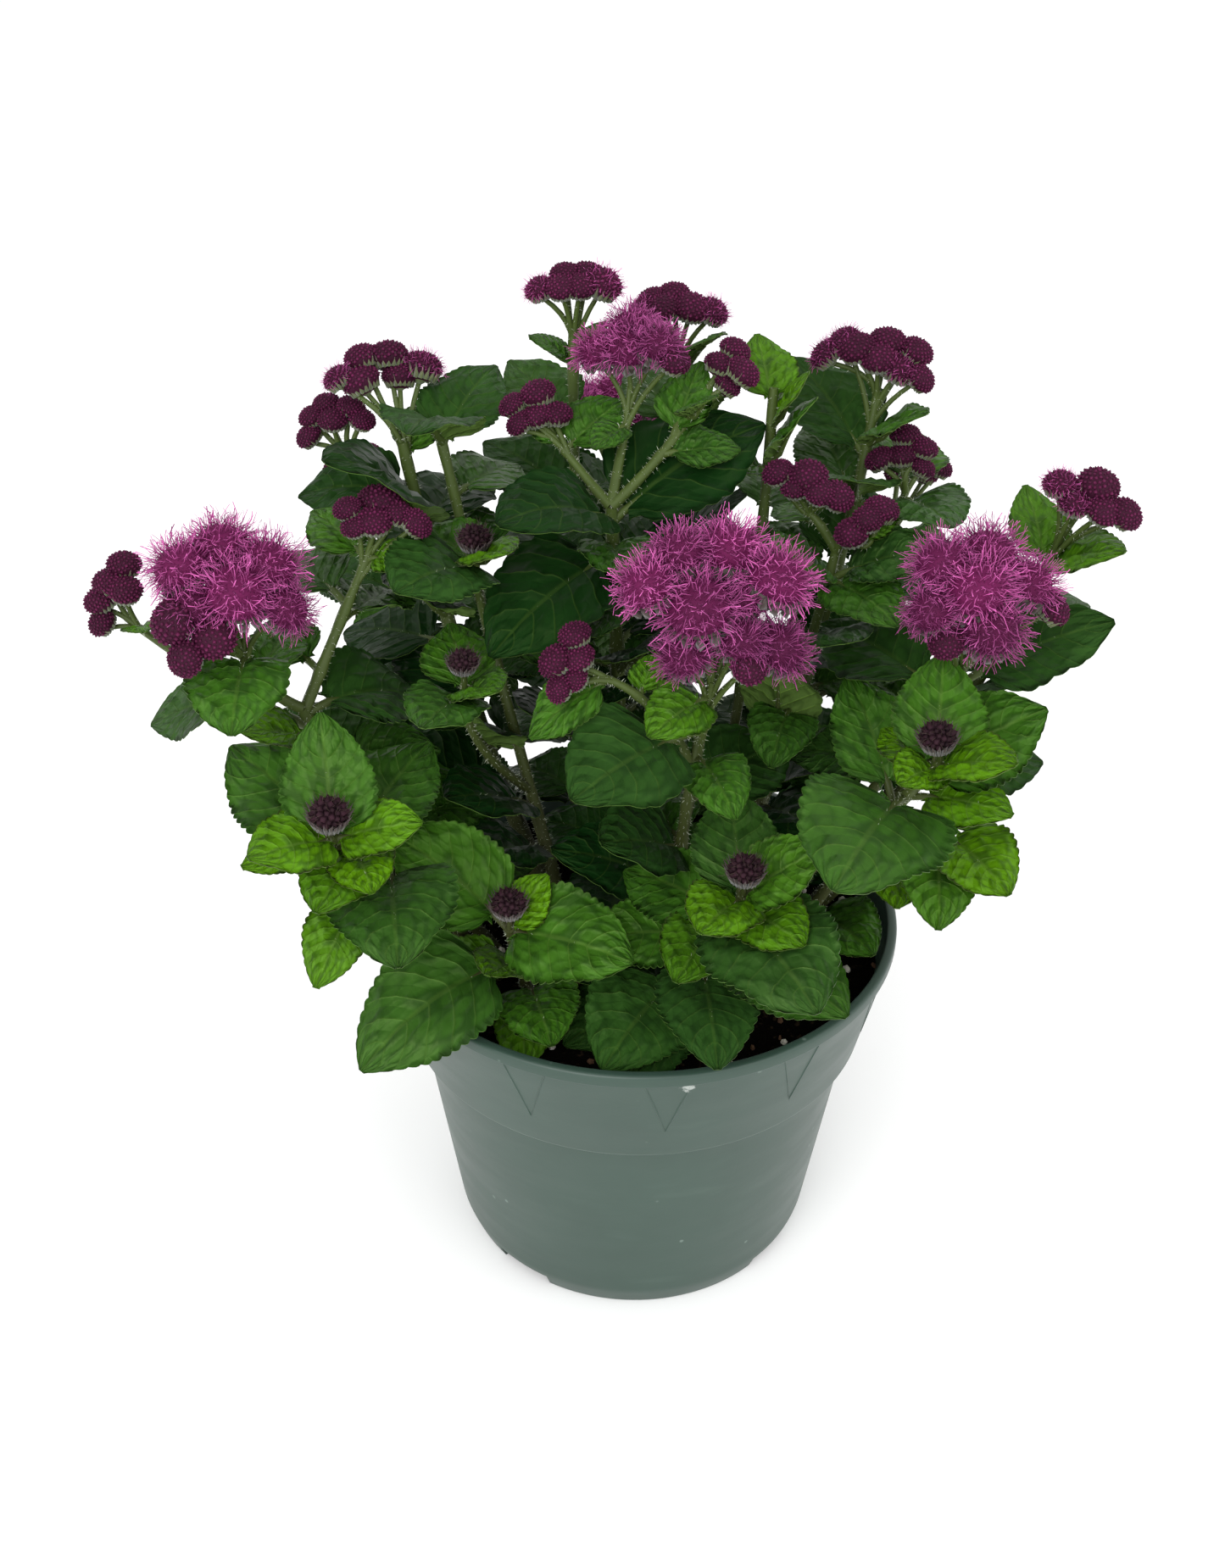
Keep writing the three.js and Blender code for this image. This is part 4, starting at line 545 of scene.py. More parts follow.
class Nodes:
    """Adds nodes to a tree and feeds their sockets with constants or with other nodes' values."""

    def __init__(self, tree):
        self.tree = tree

    def add(self, kind, inputs=None, output=0, **settings):
        node = self.tree.nodes.new(kind)
        for name, value in settings.items():
            setattr(node, name, value)
        for name, value in (inputs or {}).items():
            self.feed(node.inputs[name], value)
        return Value(self, node.outputs[output])

    def feed(self, socket, value):
        if isinstance(value, Value):
            self.tree.links.new(value.socket, socket)
        elif socket.type == "RGBA":
            socket.default_value = (*value, 1.0)
        else:
            socket.default_value = value

    def give(self, **values):
        """Feeds the group's own outputs."""
        for name, value in values.items():
            self.feed(self.result[name], value)

    def math(self, operation, *values, clamp=False):
        return self.add("ShaderNodeMath", dict(enumerate(values)), operation=operation, use_clamp=clamp)

    def larger(self, a, b):
        return self.math("MAXIMUM", a, b)

    def vector(self, operation, a, b):
        return self.add("ShaderNodeVectorMath", {0: a, 1: b}, operation=operation)

    def scaled(self, vector, factor):
        return self.add("ShaderNodeVectorMath", {0: vector, "Scale": factor}, operation="SCALE")

    def combine(self, x, y, z):
        return self.add("ShaderNodeCombineXYZ", {0: x, 1: y, 2: z})

    def part(self, vector, axis):
        return self.add("ShaderNodeSeparateXYZ", {0: vector}, axis)

    def ramp(self, value, low, high, start=0.0, end=1.0, kind="SMOOTHSTEP"):
        """A smooth step from start, at low, to end, at high."""
        inputs = {"Value": value, "From Min": low, "From Max": high, "To Min": start, "To Max": end}
        return self.add("ShaderNodeMapRange", inputs, interpolation_type=kind)

    def mix(self, factor, a, b):
        return self.add("ShaderNodeMix", {0: factor, 6: a, 7: b}, 2, data_type="RGBA")

    def noise(self, vector, scale, detail, **more):
        return self.add("ShaderNodeTexNoise", {"Vector": vector, "Scale": scale, "Detail": detail, **more})

    def place(self):
        return self.add("ShaderNodeTexCoord", output="Object")

    def attribute(self, name):
        return self.add("ShaderNodeAttribute", output="Fac", attribute_name=name)

    def group(self, name, inputs):
        return self.add("ShaderNodeGroup", inputs, node_tree=bpy.data.node_groups[name])

    def mottled(self, colour, scale, amount):
        return self.group("Mottle", {"Colour": colour, "Scale": scale, "Amount": amount})

    def bump(self, height, strength, distance):
        bump = self.add("ShaderNodeBump", {"Height": height, "Strength": strength, "Distance": distance})
        self.feed(self.shader["Normal"], bump)

    def random(self, low, high, seed=0):
        if isinstance(low, tuple):
            return self.add("FunctionNodeRandomValue", {0: low, 1: high, 8: seed}, data_type="FLOAT_VECTOR")
        return self.add("FunctionNodeRandomValue", {2: low, 3: high, 8: seed}, 1)

    def named(self, name, kind="FLOAT"):
        return self.add("GeometryNodeInputNamedAttribute", {"Name": name}, data_type=kind)

    def index(self):
        return self.add("GeometryNodeInputIndex")

    def turn(self, angles):
        return self.add("FunctionNodeEulerToRotation", {0: angles})

    def turned(self, rotation, by):
        inputs = {0: rotation, 1: by}
        return self.add("FunctionNodeRotateRotation", inputs, rotation_space="LOCAL")

    def cone(self, sides, bottom, top, depth, segments=1, **settings):
        sizes = {"Radius Bottom": bottom, "Radius Top": top, "Depth": depth}
        inputs = {"Vertices": sides, "Side Segments": segments, **sizes}
        return self.add("GeometryNodeMeshCone", inputs, **settings)

    def moved(self, geometry, **how):
        return self.add("GeometryNodeTransform", {"Geometry": geometry, **how})

    def points(self, count, position=(0.0, 0.0, 0.0)):
        return self.add("GeometryNodePoints", {"Count": count, "Position": position})

    def scattered(self, surface, density, seed, **more):
        inputs = {"Mesh": surface, "Density": density, "Seed": seed, **more}
        return self.add("GeometryNodeDistributePointsOnFaces", inputs)

    def copies(self, points, shape, rotation, scale=(1.0, 1.0, 1.0)):
        inputs = {"Points": points, "Instance": shape, "Rotation": rotation, "Scale": scale}
        return self.add("GeometryNodeInstanceOnPoints", inputs)

    def shaded_copies(self, points, shape, rotation, scale, seed):
        """Copies on points, each with a random shade."""
        copies = self.copies(points, shape, rotation, scale)
        return self.stored(copies, "shade", self.random(0.0, 1.0, seed), "INSTANCE")

    def stored(self, geometry, name, value, domain="POINT"):
        inputs = {"Geometry": geometry, "Name": name, "Value": value}
        return self.add("GeometryNodeStoreNamedAttribute", inputs, data_type="FLOAT", domain=domain)

    def height_share(self, low, high):
        z = self.part(self.add("GeometryNodeInputPosition"), 2)
        return self.ramp(z, low, high, kind="LINEAR")

    def tube(self, path, section, **more):
        inputs = {"Curve": path, "Profile Curve": section, "Fill Caps": True, **more}
        return self.add("GeometryNodeCurveToMesh", inputs)

    def circle(self, sides, radius):
        return self.add("GeometryNodeCurvePrimitiveCircle", {"Resolution": sides, "Radius": radius})

    def painted(self, geometry, material):
        return self.add("GeometryNodeSetMaterial", {"Geometry": geometry, "Material": material})

    def smooth(self, geometry):
        return self.add("GeometryNodeSetShadeSmooth", {"Geometry": geometry})

    def joined(self, *parts):
        join = self.tree.nodes.new("GeometryNodeJoinGeometry")
        for part in parts:
            self.feed(join.inputs[0], part)
        return Value(self, join.outputs[0])

    def realized(self, geometry):
        return self.add("GeometryNodeRealizeInstances", {"Geometry": geometry})


def new_group(name, kind, inputs, outputs):
    """The wiring of a new node group with named sockets, and what the group is given."""
    tree = bpy.data.node_groups.new(name, kind)
    for sockets, side in ((inputs, "INPUT"), (outputs, "OUTPUT")):
        for label, socket in sockets.items():
            tree.interface.new_socket(label, in_out=side, socket_type="NodeSocket" + socket)
    nodes = Nodes(tree)
    source = tree.nodes.new("NodeGroupInput")
    nodes.result = tree.nodes.new("NodeGroupOutput").inputs
    return nodes, {label: Value(nodes, source.outputs[label]) for label in inputs}


def growth_tree(name, **inputs):
    """A geometry tree that takes a mesh and named values, and gives a mesh."""
    inputs = {label.replace("_", " "): socket for label, socket in inputs.items()}
    sockets = {"Geometry": "Geometry", **inputs}
    return new_group(name, "GeometryNodeTree", sockets, {"Geometry": "Geometry"})


# ---- Objects ----


def new_object(name, data):
    obj = bpy.data.objects.new(name, data)
    bpy.context.scene.collection.objects.link(obj)
    return obj


def baked(obj):
    """The object with its modifiers' result as its plain mesh."""
    graph = bpy.context.evaluated_depsgraph_get()
    mesh = bpy.data.meshes.new_from_object(obj.evaluated_get(graph), depsgraph=graph)
    obj.modifiers.clear()
    obj.data = mesh
    if not len(mesh.polygons):
        raise RuntimeError(f"{obj.name} came out empty")
    if mesh.materials[0] is None:
        mesh.materials.pop(index=0)
    return obj


def grow(name, mesh, tree_name, values):
    """Runs a geometry tree on a mesh and keeps the plain mesh that comes out."""
    obj = new_object(name, mesh)
    modifier = obj.modifiers.new("Growth", "NODES")
    modifier.node_group = bpy.data.node_groups[tree_name]
    sockets = modifier.node_group.interface.items_tree
    identifiers = {item.name: item.identifier for item in sockets if item.in_out == "INPUT"}
    for label, value in values.items():
        modifier[identifiers[label]] = bpy.data.materials[value] if isinstance(value, str) else value
    return baked(obj)


def piece(obj, slot, *nodes):
    """Fixes a finished piece to the plant's one body, in place of its solids."""
    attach(obj, "root")
    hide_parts(*nodes)


def mesh_from(name, corners, faces=(), edges=(), flat=False):
    """A mesh from corners in millimetres."""
    mesh = bpy.data.meshes.new(name)
    mesh.from_pydata((np.array(corners) * MM).tolist(), edges, faces, shade_flat=flat)
    mesh.update()
    return mesh


def put_values(mesh, name, values, kind="FLOAT"):
    layer = mesh.attributes.new(name, kind, "POINT")
    slot = "value" if kind == "FLOAT" else "vector"
    layer.data.foreach_set(slot, np.array(values, np.float32).ravel())


# ---- Shared surface effects ----


def mottle_group():
    """Large and small blotches that shift a colour's brightness."""
    inputs = {"Colour": "Color", "Scale": "Float", "Amount": "Float"}
    nodes, given = new_group("Mottle", "ShaderNodeTree", inputs, {"Colour": "Color", "Mask": "Float"})
    noise = nodes.noise(nodes.place(), given["Scale"], 4.0, Roughness=0.6)
    brightness = (noise - 0.5) * given["Amount"] + 1.0
    nodes.give(Colour=nodes.scaled(given["Colour"], brightness), Mask=noise)


VEIN_CURVE = 1.2
VEIN_SWEEP = 0.26
VEIN_SHIFT = 0.35
VEIN_SWAY = 0.6


def vein_group():
    """Veins of a blade, from its own map: along the map's first axis, split down the middle."""
    inputs = {"Map": "Vector", "Veins": "Float", "Net scale": "Float"}
    outputs = {"Veins": "Float", "Net": "Float", "Height": "Float"}
    nodes, given = new_group("Leaf veins", "ShaderNodeTree", inputs, outputs)
    side = nodes.part(given["Map"], 1) * 2.0 - 1.0
    across = abs(side)
    phase = (nodes.part(given["Map"], 0) - across**VEIN_CURVE * VEIN_SWEEP) * given["Veins"]
    sway = nodes.noise(nodes.place(), 75.0, 1.0) * VEIN_SWAY + (VEIN_SHIFT - VEIN_SWAY / 2)
    shifted = phase + sway
    distance = abs(shifted - nodes.math("ROUND", shifted))
    side_veins = nodes.ramp(distance, 0.01, 0.06, 1.0, 0.0) * nodes.ramp(across, 0.6, 1.0, 1.0, 0.2)
    midrib = nodes.ramp(across, 0.015, 0.06, 1.0, 0.0)
    cell_place = nodes.combine(shifted * 0.9, side * 3.2, 0.0)
    cell_inputs = {"Vector": cell_place, "Scale": given["Net scale"], "Smoothness": 0.5}
    cells = nodes.add("ShaderNodeTexVoronoi", cell_inputs, "Distance", feature="SMOOTH_F1")
    net = nodes.ramp(cells, 0.3, 0.85)
    bulge = (distance * 2.0) ** 0.6 * nodes.ramp(across, 0.0, 0.25, 0.2, 1.0)
    nodes.give(Veins=nodes.larger(side_veins, midrib), Net=net, Height=net * -0.55 + bulge)


# ---- Materials ----


def new_material(name, **constants):
    """The wiring of a new material. Constants go on the shader's own sockets."""
    material = bpy.data.materials.new(name)
    material.use_nodes = True
    nodes = Nodes(material.node_tree)
    nodes.shader = material.node_tree.nodes["Principled BSDF"].inputs
    for label, value in constants.items():
        nodes.feed(nodes.shader[label.replace("_", " ")], value)
    return nodes


def leaf_material(name, look, gloss):
    nodes = new_material(name, Specular_IOR_Level=gloss, Specular_Tint=(0.62, 0.92, 0.32))
    uv = nodes.add("ShaderNodeUVMap", uv_map="blade")
    veins = nodes.group("Leaf veins", {"Map": uv, "Veins": float(look.veins), "Net scale": 1.7})
    tone, under = nodes.attribute("tone"), nodes.attribute("under")
    # Tones below nought reach the shaded colour: painted shade for leaves deep inside the plant.
    upper = nodes.mix(nodes.ramp(tone, -0.4, 0.05), look.shaded, look.old)
    upper = nodes.mix(nodes.ramp(tone, 0.05, 0.5), upper, look.middle)
    upper = nodes.mix(nodes.ramp(tone, 0.45, 0.95), upper, look.fresh)
    mottled = nodes.mottled(upper, 70.0, 0.9)
    # Painted shade: the net of creases is darkened.
    crease_shaded = nodes.mix(veins.other("Net") * 0.56, mottled, look.crease_shade)
    veined = nodes.mix(veins * nodes.ramp(tone, 0.0, 0.95, 0.08, 0.24), crease_shaded, look.vein)
    edge = abs(nodes.part(uv, 1) - 0.5)
    margin = nodes.ramp(edge, 0.47, 0.5) * nodes.ramp(tone, 0.3, 0.8) * 0.7
    rimmed = nodes.mix(margin, veined, (0.03, 0.012, 0.012))
    lower = nodes.mix(veins * 0.7, look.under, look.vein)
    nodes.feed(nodes.shader["Base Color"], nodes.mix(under, rimmed, lower))
    rough = mottled.other("Mask") * 0.25 + 0.3
    nodes.feed(nodes.shader["Roughness"], nodes.larger(rough, under * 0.7))
    nodes.bump(veins.other("Height"), 0.9, 0.8 * MM)


def stem_material(look):
    nodes = new_material("stem", Roughness=0.5, Specular_IOR_Level=0.25)
    mottled = nodes.mottled(look.green, 160.0, 0.7)
    low = nodes.ramp(nodes.part(nodes.place(), 2), 0.12, 0.25, 0.85, 0.0)
    nodes.feed(nodes.shader["Base Color"], nodes.mix(low, mottled, (0.036, 0.037, 0.012)))
    nodes.bump(mottled.other("Mask"), 0.3, 0.3 * MM)


def hair_material(look):
    nodes = new_material("hair", Roughness=0.6)
    nodes.feed(nodes.shader["Base Color"], nodes.mottled(look.hair, 300.0, 0.3))


def floret_material(name, base, tip, along, sheen):
    """Velvety florets or threads: dark at the root, paler at the tip, each a little different."""
    nodes = new_material(
        name, Roughness=0.7, Specular_IOR_Level=0.15,
        Sheen_Weight=sheen, Sheen_Roughness=0.5, Sheen_Tint=tip,
    )
    # The darker roots are painted shade deep in a head.
    varied = nodes.mix(nodes.math("POWER", nodes.attribute(along), 0.8, clamp=True), base, tip)
    shade = nodes.attribute("shade") * 0.7 + 0.65
    # The colour factor holds a random tone and, on open heads low in a cluster, painted shade.
    tinted_and_shaded = nodes.scaled(varied, shade * nodes.attribute("tint"))
    nodes.feed(nodes.shader["Base Color"], nodes.mottled(tinted_and_shaded, 260.0, 0.6))


def bract_material(name, base, tip):
    nodes = new_material(name, Roughness=0.6, Sheen_Weight=0.25)
    mixed = nodes.mix(nodes.attribute("lift"), nodes.mottled(base, 420.0, 1.2), tip)
    nodes.feed(nodes.shader["Base Color"], mixed)


CHALK_PLACE = (0.0135, -0.0765, 0.111)
CHALK_RADIUS = 0.0031


def plastic_material(look):
    nodes = new_material("plastic", Specular_IOR_Level=0.42)
    place = nodes.place()
    specks = nodes.add("ShaderNodeTexVoronoi", {"Vector": place, "Scale": 95.0, "Randomness": 1.0})
    patchy = nodes.ramp(nodes.noise(place, 17.0, 3.0), 0.46, 0.6)
    dusty = nodes.ramp(specks, 0.03, 0.09, 1.0, 0.0) * patchy
    scratches = nodes.noise(nodes.vector("MULTIPLY", place, (1.0, 1.0, 4.0)), 30.0, 6.0)
    scuffed = nodes.ramp(scratches, 0.55, 0.8) * 0.16
    # A pale line along the collar's lower edge is a painted highlight, mixed in with the scuffs.
    ledge = abs(nodes.part(place, 2) - (COLLAR_BOTTOM - 0.4) * MM)
    scuffed_and_highlit = nodes.larger(scuffed, nodes.ramp(ledge, 0.0003, 0.0014, 0.4, 0.0))
    mottled = nodes.mottled(look.plastic, 26.0, 0.35)
    worn_and_highlit = nodes.mix(nodes.larger(dusty, scuffed_and_highlit), mottled, look.rubbed_and_highlit)
    chalk = nodes.vector("DISTANCE", place, CHALK_PLACE).other("Value")
    ragged = nodes.noise(place, 750.0, 3.0) * 0.004 + chalk
    flaked = nodes.ramp(ragged, CHALK_RADIUS, CHALK_RADIUS + 0.0012, 1.0, 0.0) * 0.7
    nodes.feed(nodes.shader["Base Color"], nodes.mix(flaked, worn_and_highlit, (0.45, 0.48, 0.45)))
    nodes.feed(nodes.shader["Roughness"], scratches * 0.25 + 0.28)
    nodes.bump(nodes.noise(place, 900.0, 2.0), 0.12, 0.1 * MM)


def soil_material(look):
    nodes = new_material("damp soil", Roughness=0.95, Specular_IOR_Level=0.0)
    flecks = nodes.noise(nodes.place(), 420.0, 5.0)
    nodes.feed(nodes.shader["Base Color"], nodes.mix(nodes.ramp(flecks, 0.58, 0.74), look.soil, look.bark))
    nodes.bump(flecks, 0.8, 1.0 * MM)


def crumb_material(look):
    """Crumbs of soil, with a few woody bits and a few pale grains."""
    nodes = new_material("crumb", Roughness=0.95, Specular_IOR_Level=0.0)
    shade = nodes.attribute("shade")
    mixed = nodes.mix(nodes.ramp(shade, 0.55, 0.95), look.soil, look.bark)
    for share, bit in ((0.84, (0.09, 0.05, 0.03)), (0.9, (0.55, 0.52, 0.46))):
        mixed = nodes.mix(nodes.ramp(shade, share, share + 0.005), mixed, bit)
    mottled = nodes.mottled(mixed, 700.0, 0.8)
    nodes.feed(nodes.shader["Base Color"], mottled)
    nodes.bump(mottled.other("Mask"), 0.6, 0.5 * MM)


def floor_material(look):
    new_material("floor", Base_Color=look.floor, Roughness=0.9, Specular_IOR_Level=0.1)


# ---- The plant's layout: curves of the stems, leaves as they stand, heads ----


def curve_point(curve, t):
    start, bend, tip = curve
    return (1 - t) ** 2 * start + 2 * t * (1 - t) * bend + t * t * tip


def curve_points(curve, count):
    return np.array([curve_point(curve, t) for t in np.linspace(0, 1, count)])


def curve_length(curve):
    return float(np.linalg.norm(np.diff(curve_points(curve, 201), axis=0), axis=1).sum())


def stem_curves(shoot):
    curves = []
    for start, bend, tip, _ in shoot.stems:
        if curves:
            parent, place = start
            start = curve_point(curves[parent], place)
        else:
            start = np.array((*start, SOIL_HEIGHT - ROOT_DEPTH), float)
        curves.append((start, np.array(bend, float), np.array(tip, float)))
    return curves


def leaf_frame(leaf, shares):
    """Places, sides and normals along a leaf's midrib, which bends down evenly."""
    whole = (leaf.stalk + leaf.blade) * leaf.size
    azimuth, start, droop = (math.radians(v) for v in (leaf.azimuth, leaf.rise, leaf.droop))
    slope = start - droop * shares
    reach = whole / droop * (math.sin(start) - np.sin(slope))
    climb = whole / droop * (np.cos(slope) - math.cos(start))
    out = np.array((math.cos(azimuth), math.sin(azimuth), 0.0))
    flat_side = np.array((-out[1], out[0], 0.0))
    flat_normal = np.multiply.outer(np.cos(slope), UP) - np.multiply.outer(np.sin(slope), out)
    roll = math.radians(LIGHT_TILT) * math.cos(azimuth)
    side = flat_side * math.cos(roll) + flat_normal * math.sin(roll)
    normal = flat_normal * math.cos(roll) - flat_side * math.sin(roll)
    place = leaf.base + np.multiply.outer(reach, out) + np.multiply.outer(climb, UP)
    return place, side, normal


def blade_shape(shares):
    return shares**BASAL_POWER * (1 - shares) ** TIP_POWER / SHAPE_PEAK


def blade_points(leaf, shares, across, half_width, lift=0.0):
    """Points of the blade: shares of its length by shares of its half width."""
    place, side, normal = leaf_frame(leaf, (leaf.stalk + leaf.blade * shares) / (leaf.stalk + leaf.blade))
    raised = CUP * np.abs(across) * half_width * (1 - CUP_FADE * shares) + lift
    offset = (across * half_width)[..., None]
    return place + side * offset + normal * raised[..., None], normal


def tooth_places(leaf):
    """The pointed places of the solid blade: its tip and its teeth."""
    teeth = 4 if leaf.blade > LARGE_BLADE else 3 if leaf.blade > MIDDLE_BLADE else 2
    shares = np.array([(2 * tooth + 1) / (2 * teeth) for tooth in range(teeth)] * 2 + [1.0])
    across = np.array([1.0] * teeth + [-1.0] * teeth + [0.0])
    half = leaf.width / 2 * leaf.size * blade_shape(shares)
    return blade_points(leaf, shares, across, half)[0]


def settled(leaf, tree):
    """The leaf turned and lifted as its solid was, or None where the solid has no such leaf."""
    for size in LEAF_SIZES:
        for turn in LEAF_TURNS:
            for lift in LEAF_LIFTS:
                bent = leaf._replace(azimuth=leaf.azimuth + turn, rise=leaf.rise + lift, size=size)
                places = tooth_places(bent)
                if all(tree.find(place)[2] < MATCH_DISTANCE for place in places[::-1]):
                    return bent
    return None


def solid_corners(node):
    """The corners of a node's solid, ready for finding the nearest one."""
    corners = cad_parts[node].data.vertices
    tree = kdtree.KDTree(len(corners))
    for index, corner in enumerate(corners):
        tree.insert(corner.co / MM, index)
    tree.balance()
    return tree


# Blades shorter than the grown one are fresher, and those low on a stem are older. Leaves inside
# the radius and under the height get painted shade: their tone is lowered to stand in for the
# shade that the rest casts on them.
GROWN_BLADE = 26
INNER_RADIUS = 85.0
INNER_TOP = 235.0
INNER_SHADE = 0.6
LOW_SHARE = 0.6
LOW_AGE = 0.2


def shoot_leaves(shoot, curves):
    tree = solid_corners(shoot.name)
    leaves = []
    for stem, place, azimuth, rise, stalk, blade, width, droop in shoot.leaves:
        base = curve_point(curves[stem], place)
        tone = shoot.tone + np.clip(0.07 * (GROWN_BLADE - blade), -0.35, 0.4) - LOW_AGE * (place < LOW_SHARE)
        inside = np.clip((INNER_RADIUS - math.hypot(base[0], base[1] - MIDDLE_Y)) / 30, 0, 1)
        under = np.clip((INNER_TOP - base[2]) / 50, 0, 1)
        # Painted shade: a leaf deep inside the plant is made darker.
        tone -= INNER_SHADE * inside * under * max(0, 1 - shoot.tone / LEAFY_TONE)
        leaf = Leaf(base, azimuth, rise, stalk, blade, width, droop, 1, tone, place, stem)
        bent = settled(leaf, tree)
        if bent:
            leaves.append(bent)
    return leaves


def flower_heads(flower, curves):
    """Heads of one cluster, looking away from a point a little below the stem's tip."""
    _, stem, _, rows = flower
    curve = curves[stem]
    fan = curve[2] - UP * FAN_DEPTH
    pitch = PEDICEL_PITCH / curve_length(curve)
    heads = []
    for index, (*centre, radius) in enumerate(rows):
        centre = np.array(centre, float)
        axis = (centre - fan) / np.linalg.norm(centre - fan)
        start = max(PEDICEL_END, PEDICEL_START - pitch * index)
        tip = curve_point(curve, start)
        tangent = tip - curve_point(curve, start - 0.05)
        heads.append(Head(centre, axis, radius, tip, tangent / np.linalg.norm(tangent)))
    return heads


# ---- Small leaves on the bare stretches of the stems ----

# Where they may stand along a stem, how they turn and bend, how far they keep from other parts,
# and between which heights and how far out from the plant's middle they stay.
AXIL_PLACES = (0.3, 0.45, 0.6, 0.2, 0.75, 0.5)
AXIL_TURNS = (0, 180, 45, -45, 90, -90, 135, -135)
AXIL_RISE = 22.0
AXIL_DROOP = 50.0
AXIL_STALK = 6
AXIL_GAP = 3.4
AXIL_TOP = 232.0
AXIL_BOTTOM = 112.0
AXIL_REACH = 62.0
AXIL_SPREAD = 0.5
LEAFY_TONE = 0.6


def blade_spots(leaf):
    """A coarse net of points over a blade."""
    shares, across = np.meshgrid(np.linspace(0.15, 0.97, 8), (-0.85, -0.4, 0.0, 0.4, 0.85), indexing="ij")
    half = leaf.width / 2 * leaf.size * blade_shape(shares.ravel())
    return blade_points(leaf, shares.ravel(), across.ravel(), half)[0]


def taken_spots(plants):
    """Points of all that stands already: stems, blades and heads."""
    spots = []
    for plant in plants:
        spots.extend(curve_points(curve, 40) for curve in plant.curves)
        spots.extend(blade_spots(leaf) for leaf in plant.leaves)
        for _, head in plant.heads:
            spots.append(head.centre + head.radius * np.array([(0, 0, 0), *np.eye(3), *-np.eye(3)]))
    return np.concatenate(spots)


def has_room(net, spots):
    """Whether a blade's net stays inside the plant and clear of all that stands already."""
    room = AXIL_REACH + AXIL_SPREAD * (net[:, 2] - AXIL_BOTTOM)
    inside = np.all(np.hypot(net[:, 0], net[:, 1] - MIDDLE_Y) < room)
    if not inside or net[:, 2].max() > AXIL_TOP or net[:, 2].min() < AXIL_BOTTOM:
        return False
    return np.linalg.norm(net[:, None] - spots[None], axis=2).min() >= AXIL_GAP


def axil_leaf(plant, place, spots):
    """A small leaf for a place on the main stem, turned to where it has room, with its net."""
    base = curve_point(plant.curves[0], place)
    outward = math.degrees(math.atan2(base[1] - MIDDLE_Y, base[0]))
    blade = 30 - 8 * place
    tone = plant.shoot.tone - 0.25 + 0.3 * place
    sizes = (AXIL_RISE, AXIL_STALK, blade, 0.8 * blade, AXIL_DROOP, 1, tone, place, 0)
    for turn in AXIL_TURNS:
        leaf = Leaf(base, outward + turn, *sizes)
        net = blade_spots(leaf)
        if has_room(net, spots):
            return leaf, net
    return None, None


def add_axil_leaves(plants, look):
    """Gives the bare stretches of the stems small leaves wherever a blade has room."""
    spots = taken_spots(plants)
    added = 0
    for place in AXIL_PLACES:
        for plant in plants:
            if plant.shoot.tone >= LEAFY_TONE or added >= look.axil_leaves:
                continue
            leaf, net = axil_leaf(plant, place, spots)
            if leaf:
                plant.leaves.append(leaf)
                spots = np.concatenate([spots, net])
                added += 1


# ---- Leaves ----

# Blades longer than the fine one get the most rows, and those darker than the coarse tone the
# fewest. Rows crowd towards the base. The rim is cut by a notch between rounded teeth.
FINE_BLADE = 26
COARSE_TONE = -0.05
SHADED_TONE = 0.12
ROW_POWER = 1.12
BASE_LOBE = 0.06
END_SHARE = 0.996
NOTCH = 0.055
NOTCH_STEPS = (1.0, 0.3, 0.0, 0.3)
COLUMNS = (0.0, 0.1, 0.32, 0.56, 0.8, 1.0)
FULL_RELIEF_WIDTH = 9


def blade_relief(leaf, look, s, a, half, random):
    """How far a blade bulges between its veins, waves along its margin and sinks at its midrib."""
    room = np.clip(half / FULL_RELIEF_WIDTH, 0.15, 1)
    t = look.veins * (s - VEIN_SWEEP * np.abs(a) ** VEIN_CURVE) + VEIN_SHIFT
    between = np.abs(np.sin(math.pi * t)) ** 0.7
    beside = np.clip(np.abs(a) * 4, 0, 1) * (1 - 0.6 * np.abs(a) ** 3)
    height = look.pucker / MM * random.uniform(0.5, 1.5)
    ripple = np.sin(FULL_TURN * (1.7 * np.abs(a) + 0.37 * np.floor(t) + 0.5 * (a > 0)))
    bulges = height * between * beside * (1 + 0.35 * ripple)
    blister = np.exp(-(((np.abs(a) - 0.3) / 0.2) ** 2) - ((s - 0.3) / 0.2) ** 2)
    blisters = 1.1 * np.clip(leaf.tone - 0.4, 0, 0.6) * blister
    sway = random.uniform(0, FULL_TURN, 2)[(a > 0).astype(int)]
    wave = np.sin(random.uniform(1.2, 2.2) * FULL_TURN * s + sway)
    waves = look.wave * leaf.width * leaf.size * np.abs(a) ** 2.5 * wave
    return (bulges + blisters + waves - 0.5 * np.exp(-((a * half) ** 2))) * room


